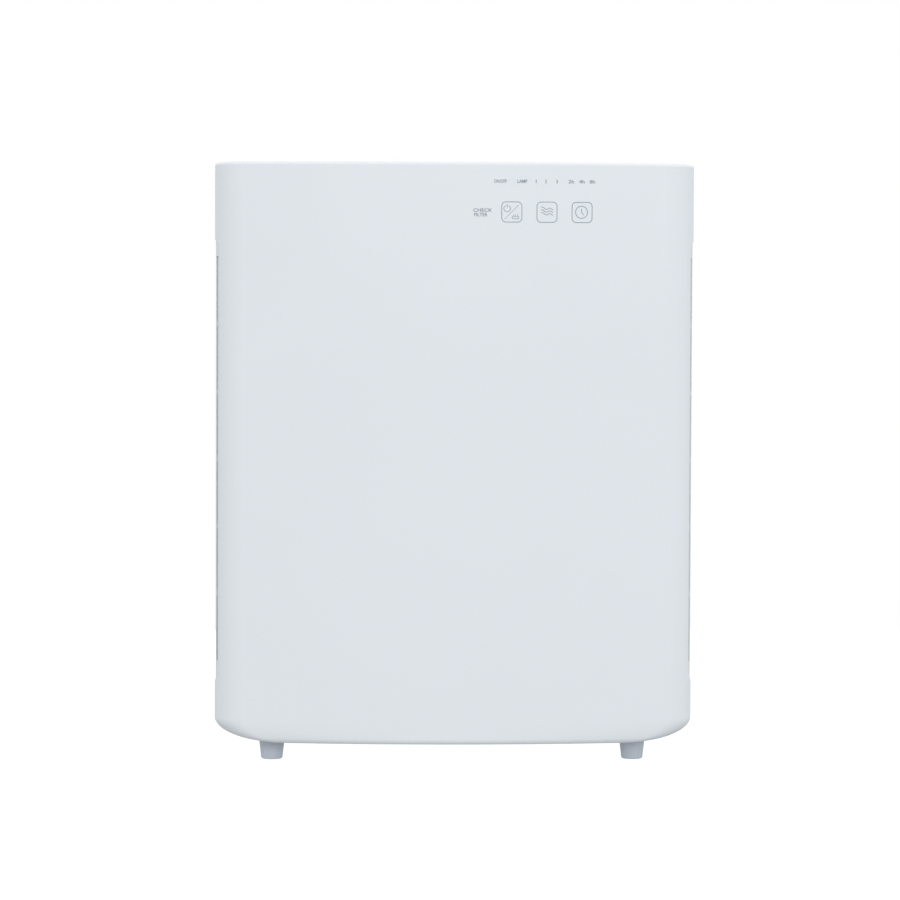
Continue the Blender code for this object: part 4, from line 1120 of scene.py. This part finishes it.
def make_carbon():
    cells = honeycomb("carbon_cells", "carbon_honeycomb", 8 * MM, 0.0, 0.35 * MM, BLACK_PAPER, "carbon_filter")
    low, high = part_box("carbon_honeycomb")
    inset = 1.2 * MM
    sizes = {
        "Width": high[0] - low[0] - 0.6 * MM,
        "Thickness": high[1] - low[1] - 2 * inset,
        "Height": high[2] - low[2] - 0.6 * MM,
        "Grain": 2.2 * MM,
        "Relief": 1.6 * MM,
    }
    tree, given = tree_with("carbon_granules", sizes)
    counts = {}
    for side, label in (("Vertices X", "Width"), ("Vertices Z", "Height")):
        counts[side] = add_node(
            tree, "ShaderNodeMath", {"operation": "DIVIDE"}, {0: given[label], 1: given["Grain"]}
        ).outputs[0]
    bed = add_node(
        tree,
        "GeometryNodeMeshCube",
        inputs={"Size": vector(tree, given["Width"], given["Thickness"], given["Height"]), "Vertices Y": 2, **counts},
    )
    rough = add_node(
        tree, "ShaderNodeTexNoise", inputs={"Scale": 1 / (3 * MM), "Detail": 1.0, "Roughness": 0.5}
    ).outputs["Fac"]
    centred = add_node(tree, "ShaderNodeMath", {"operation": "SUBTRACT"}, {0: rough, 1: 0.5}).outputs[0]
    lift = vector(tree, 0.0, product(tree, centred, given["Relief"]))
    rugged = add_node(tree, "GeometryNodeSetPosition", inputs={"Geometry": bed.outputs["Mesh"], "Offset": lift})
    granules_bed = grown(tree, rugged.outputs[0], sizes, CARBON)
    granules_bed.data.transform(Matrix.Translation((low + high) / 2))
    ride(granules_bed, "carbon_filter")
    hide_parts("carbon_honeycomb")


def make_catalyst():
    cells = honeycomb("catalyst_cells", "catalyst_honeycomb", 6 * MM, 0.0, 0.3 * MM, CATALYST, "catalyst_filter")
    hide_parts("catalyst_honeycomb")


def make_pleats():
    """Filter paper folded to and fro, with beads of hot glue across the folds that keep them apart."""
    low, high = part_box("hepa_pleats")
    folds = 152
    bead = 0.45 * MM
    sizes = {
        "Folds": folds,
        "Pitch": (high[0] - low[0] - 0.4 * MM) / folds,
        "Fold Depth": high[1] - low[1] - 1.4 * MM,
        "Height": high[2] - low[2],
        "Tip Width": 0.6 * MM,
        "Beads": 13,
        "Bead Radius": bead,
        "Width": high[0] - low[0] - 0.4 * MM,
    }
    tree, given = tree_with("pleated_paper", sizes)
    count = product(tree, given["Folds"], 2.0)
    half_pitch = product(tree, given["Pitch"], 0.5)
    line = add_node(tree, "GeometryNodeMeshLine", inputs={"Count": count, "Offset": vector(tree, half_pitch)})
    index = add_node(tree, "GeometryNodeInputIndex").outputs[0]
    odd = add_node(tree, "ShaderNodeMath", {"operation": "MODULO"}, {0: index, 1: 2.0}).outputs[0]
    halved = product(tree, index, 0.5)
    turn = add_node(tree, "ShaderNodeMath", {"operation": "FLOOR"}, {0: halved}).outputs[0]
    turn_odd = add_node(tree, "ShaderNodeMath", {"operation": "MODULO"}, {0: turn, 1: 2.0}).outputs[0]
    side = add_node(tree, "ShaderNodeMath", {"operation": "SUBTRACT"}, {0: turn_odd, 1: 0.5}).outputs[0]
    inputs = {0: product(tree, given["Tip Width"], 1.0), 1: product(tree, given["Pitch"], 0.5)}
    shortfall = add_node(tree, "ShaderNodeMath", {"operation": "SUBTRACT"}, inputs).outputs[0]
    along = product(tree, odd, shortfall)
    fold = vector(tree, along, product(tree, side, given["Fold Depth"]))
    zigzag = add_node(tree, "GeometryNodeSetPosition", inputs={"Geometry": line.outputs[0], "Offset": fold})
    sheet = add_node(
        tree,
        "GeometryNodeExtrudeMesh",
        {"mode": "EDGES"},
        {"Mesh": zigzag.outputs[0], "Offset": vector(tree, 0.0, 0.0, given["Height"]), "Offset Scale": 1.0},
    )
    paper = grown(tree, sheet.outputs["Mesh"], sizes, FILTER_PAPER)
    start = Vector((low[0] + 0.2 * MM, (low[1] + high[1]) / 2, low[2]))
    paper.data.transform(Matrix.Translation(start))
    paper = walled(paper, 0.3 * MM)
    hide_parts("hepa_pleats")
    ride(paper, "hepa_filter")

    tree, given = tree_with("glue_beads", sizes)
    rod = add_node(
        tree,
        "GeometryNodeMeshCylinder",
        inputs={"Vertices": 10, "Radius": given["Bead Radius"], "Depth": given["Width"]},
    )
    step = add_node(tree, "ShaderNodeMath", {"operation": "DIVIDE"}, {0: given["Height"], 1: given["Beads"]}).outputs[0]
    rungs = add_node(
        tree,
        "GeometryNodeMeshLine",
        inputs={
            "Count": given["Beads"],
            "Start Location": vector(tree, 0.0, 0.0, product(tree, step, 0.5)),
            "Offset": vector(tree, 0.0, 0.0, step),
        },
    )
    across = vector(tree, 0.0, math.pi / 2)
    inputs = {"Points": rungs.outputs[0], "Instance": rod.outputs["Mesh"], "Rotation": across}
    ladder = add_node(tree, "GeometryNodeInstanceOnPoints", inputs=inputs).outputs[0]
    sides = add_node(
        tree,
        "GeometryNodeMeshLine",
        inputs={
            "Count": 2,
            "Start Location": vector(tree, 0.0, product(tree, given["Fold Depth"], -0.5)),
            "Offset": vector(tree, 0.0, given["Fold Depth"]),
        },
    )
    both = add_node(tree, "GeometryNodeInstanceOnPoints", inputs={"Points": sides.outputs[0], "Instance": ladder})
    beads = grown(tree, both.outputs[0], sizes, HOT_GLUE)
    beads.data.transform(Matrix.Translation((0.0, (low[1] + high[1]) / 2, low[2])))
    beads.data.shade_smooth()
    beads.data.set_sharp_from_angle(angle=math.radians(50))
    ride(beads, "hepa_filter")


def make_prefilter_mesh():
    """A net of crossing threads behind the frame's bars. Its 2.4 mm mesh is coarser than the real 1 mm."""
    low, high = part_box("prefilter_mesh")
    sizes = {
        "Pitch": 2.4 * MM,
        "Thread Radius": 0.28 * MM,
        "Width": high[0] - low[0],
        "Height": high[2] - low[2],
    }
    tree, given = tree_with("prefilter_net", sizes)
    sets = []
    layers = (("Width", "Height", -0.2 * MM), ("Height", "Width", 0.2 * MM))
    for spread, length, layer in layers:
        rod = add_node(
            tree,
            "GeometryNodeMeshCylinder",
            inputs={"Vertices": 6, "Radius": given["Thread Radius"], "Depth": given[length]},
        )
        count = add_node(tree, "ShaderNodeMath", {"operation": "DIVIDE"}, {0: given[spread], 1: given["Pitch"]}).outputs[0]
        first = product(tree, given[spread], -0.5)
        if spread == "Width":
            start, step, turn = vector(tree, first, layer), vector(tree, given["Pitch"]), vector(tree)
        else:
            start, step = vector(tree, 0.0, layer, first), vector(tree, 0.0, 0.0, given["Pitch"])
            turn = vector(tree, 0.0, math.pi / 2)
        line = add_node(
            tree, "GeometryNodeMeshLine", inputs={"Count": count, "Start Location": start, "Offset": step}
        )
        inputs = {"Points": line.outputs[0], "Instance": rod.outputs["Mesh"], "Rotation": turn}
        sets.append(add_node(tree, "GeometryNodeInstanceOnPoints", inputs=inputs).outputs[0])
    both = add_node(tree, "GeometryNodeJoinGeometry", inputs={"Geometry": sets})
    net = grown(tree, both.outputs[0], sizes, BLACK_NYLON)
    net.data.transform(Matrix.Translation((low + high) / 2))
    net.data.shade_smooth()
    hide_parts("prefilter_mesh")
    ride(net, "prefilter")


def make_pull_tab():
    """A strip of tape, a little proud of the card it is glued to."""
    (left, front, low), (right, back, high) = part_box("hepa_pull_tab")
    rows = []
    steps = 16
    for i in range(steps + 1):
        share = i / steps
        bulge = 0.5 * MM * math.sin(math.pi * share)
        z = low + (high - low) * share
        rows.append([(left + (right - left) * j / 8, front - bulge, z) for j in range(9)])
    bm = skin(rows)
    tab = walled(finished(bm, "pull_tab", WOVEN_TAPE, outward=(0, front - 0.1, (low + high) / 2)), back - front)
    tab = eased(tab, 0.15 * MM)
    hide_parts("hepa_pull_tab")
    ride(tab, "hepa_filter")


# Lamp and controls


def make_lamp():
    low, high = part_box("uv_lamp_tube")
    centre = (low + high) / 2
    radius, wall = (high[2] - low[2]) / 2, 0.8 * MM
    inner = radius - wall
    ends = (low[0], high[0])
    profile = [(inner, ends[0]), (radius, ends[0]), (radius, ends[1]), (inner, ends[1])]
    tube = turned("quartz_tube", profile, (0, centre.y, centre.z), QUARTZ, 40, "X")
    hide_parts("uv_lamp_tube")
    ride(tube, "main_body")
    sizes = {"Wire": 0.25 * MM, "Coil Radius": 1.4 * MM, "Coil Length": 7 * MM, "Turns": 9.0}
    tree, given = tree_with("electrode", sizes)
    coil = add_node(
        tree,
        "GeometryNodeCurveSpiral",
        inputs={
            "Resolution": 12,
            "Rotations": given["Turns"],
            "Start Radius": given["Coil Radius"],
            "End Radius": given["Coil Radius"],
            "Height": given["Coil Length"],
        },
    )
    wire = add_node(
        tree, "GeometryNodeCurvePrimitiveCircle", {"mode": "RADIUS"}, {"Resolution": 6, "Radius": given["Wire"]}
    )
    inputs = {"Curve": coil.outputs[0], "Profile Curve": wire.outputs[0], "Fill Caps": True}
    template = grown(tree, add_node(tree, "GeometryNodeCurveToMesh", inputs=inputs).outputs[0], sizes, ZINC_STEEL)
    ends = [(end, centre.y, centre.z - 3.5 * MM) for end in (low[0] + 9 * MM, high[0] - 9 * MM)]
    coils = copies("lamp_electrodes", template, ends, ZINC_STEEL)
    coils.data.shade_smooth()
    ride(coils, "main_body")


def make_board_parts():
    """Chips on the front of the touch board."""
    low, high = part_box("control_board")
    outline = box_outline(-0.8 * MM, 0.8 * MM, -0.4 * MM, 0.4 * MM, 0.1 * MM, 2)
    chip = eased(solid("chip", outline, low[1] - 0.5 * MM, low[1], BLACK_NYLON, "Y"), 0.08 * MM)
    places = [(low[0] + 6 * MM + i * 5.2 * MM, 0, low[2] + 3 * MM) for i in range(17)]
    chips = copies("board_chips", chip, places, BLACK_NYLON)
    ride(chips, "main_body")


def make_inlet_pins():
    (_, _, low), (_, back, high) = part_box("mains_inlet")
    centre = middle("mains_inlet")
    tip, root, radius = back - 2 * MM, back - 16.5 * MM, 1.25 * MM
    pin = [(0.0, root), (radius, root), (radius, tip - MM), (radius * 0.75, tip - 0.25 * MM), (0.0, tip)]
    template = turned("pin", pin, (0, 0, 0), BRASS, 20)
    pins = copies("inlet_pins", template, [(centre.x + s * 4.3 * MM, 0, centre.z) for s in (-1, 1)], BRASS)
    ride(pins, "main_body")


FINISHES = {
    "gloss_white_abs": GLOSS_ABS,
    "satin_white_abs": SATIN_ABS,
    "grey_rubber": RUBBER,
    "steel": ZINC_STEEL,
    "motor_steel": MOTOR_STEEL,
    "brass": BRASS,
    "dark_plastic": BLACK_NYLON,
    "grey_plastic": GREY_PP,
    "filter_card": FILTER_CARD,
    "activated_carbon": CARBON,
    "filter_paper": FILTER_PAPER,
    "catalyst_coating": CATALYST,
    "tab_fabric": WOVEN_TAPE,
    "lamp_glass": ACRYLIC,
    "circuit_board": CIRCUIT,
    "label_film": LABEL_FILM,
    "cable_pvc": CABLE_PVC,
}
EASED_NODES = {
    "fan_scroll": 0.3,
    "inlet_ring": 0.2,
    "control_tray": 0.35,
    "carbon_frame": 0.3,
    "hepa_frame": 0.3,
    "catalyst_frame": 0.3,
    "fan_wheel": 0.2,
    "mains_inlet": 0.35,
    "motor_body": 0.4,
    "door_switch": 0.3,
    "control_board": 0.15,
    "main_board": 0.15,
    "board_relay": 0.3,
    "board_capacitor": 0.4,
    "fan_nut": 0.2,
}


def finish_nodes():
    slots = {part["node"]: part["material_slot"] for part in frame["record"]["subparts"]}
    for node, width in EASED_NODES.items():
        finer_node(node, width * MM, FINISHES[slots[node]])
    for node, piece in frame["nodes"].items():
        for place in piece.material_slots:
            place.material = FINISHES[slots[node]]


make_cover()
make_cover_inside()
make_prints()
for side, sign in (("left", -1), ("right", 1)):
    make_intake(side, sign)
make_rear()
make_screws()
make_handle_cup()
make_top_grille()
make_feet()
make_carbon()
make_catalyst()
make_pleats()
make_prefilter_mesh()
make_pull_tab()
make_lamp()
make_board_parts()
make_inlet_pins()
finish_nodes()


# Camera, light and floor


def make_camera():
    distance, height, swing = 2.5, 0.33, math.radians(-1.8)
    target = Vector((-0.0014, 0.0, 0.2401))
    lens = bpy.data.cameras.new("camera")
    lens.sensor_width = 36.0
    lens.lens = 126.4
    lens.clip_end = 50.0
    camera = bpy.data.objects.new("camera", lens)
    camera.location = (distance * math.sin(swing), -distance * math.cos(swing), height)
    aim = (target - camera.location).to_track_quat("-Z", "Y")
    camera.rotation_euler = (aim.to_matrix() @ Matrix.Rotation(math.radians(0.21), 3, "Z")).to_euler()
    bpy.context.scene.collection.objects.link(camera)
    bpy.context.scene.camera = camera


def soft_box(name, place, aim, width, height, power, mirrored=True):
    lamp = bpy.data.lights.new(name, "AREA")
    lamp.shape = "RECTANGLE"
    lamp.size, lamp.size_y = width, height
    lamp.energy = power
    light = bpy.data.objects.new(name, lamp)
    light.location = place
    light.rotation_euler = (Vector(aim) - Vector(place)).to_track_quat("-Z", "Y").to_euler()
    light.visible_camera = False
    light.visible_glossy = mirrored
    bpy.context.scene.collection.objects.link(light)


def make_studio():
    """Plain white to the camera, and to the object a soft gradient that is brighter from above.

    The floor is a pale sheet that glows, so that nothing casts a shadow on it, and doesn't light the object.
    """
    world = bpy.data.worlds.new("studio")
    world.use_nodes = True
    tree = world.node_tree
    soft = tree.nodes["Background"]
    soft.inputs["Color"].default_value = (0.98, 0.99, 1.0, 1.0)
    way = add_node(tree, "ShaderNodeTexCoord").outputs["Generated"]
    up = add_node(tree, "ShaderNodeSeparateXYZ", inputs={0: way}).outputs["Z"]
    height = add_node(tree, "ShaderNodeMapRange", inputs={0: up, 1: -0.5, 2: 0.3, 3: 0.54, 4: 1.05})
    tree.links.new(height.outputs[0], soft.inputs["Strength"])
    plain = add_node(tree, "ShaderNodeBackground", inputs={"Color": (1.0, 1.0, 1.0, 1.0), "Strength": 1.0})
    seen = add_node(tree, "ShaderNodeLightPath").outputs["Is Camera Ray"]
    both = add_node(tree, "ShaderNodeMixShader", inputs={0: seen, 1: soft.outputs[0], 2: plain.outputs[0]})
    tree.links.new(both.outputs[0], tree.nodes["World Output"].inputs["Surface"])
    bpy.context.scene.world = world
    soft_box("overhead", (0.2, -0.4, 3.0), (0, 0, 0.0), 3.0, 3.0, 8.0)
    soft_box("front", (0.5, -3.2, 0.8), (0, 0, 0.35), 2.4, 0.5, 26.0, mirrored=False)
    floor, tree, shader, place = new_finish("pale_floor")
    shade = ramp(tree, noise(tree, place, 400.0), 0.3, 0.7, 0.0, 1.0)
    tint = blend_colours(tree, shade, linear("#A0A1A2"), linear("#9C9D9E"))
    tree.links.new(tint, shader.inputs["Base Color"])
    shader.inputs["Roughness"].default_value = 0.7
    shader.inputs["Emission Color"].default_value = (1.0, 1.0, 1.0, 1.0)
    shader.inputs["Emission Strength"].default_value = 0.88
    bm = bmesh.new()
    bmesh.ops.create_grid(bm, x_segments=1, y_segments=1, size=FLOOR_HALF)
    sheet = finished(bm, "floor", floor, outward=(0, 0, 1))
    sheet.visible_diffuse = False
    sheet.visible_glossy = False
    bpy.context.scene.view_settings.view_transform = "Standard"


make_camera()
make_studio()
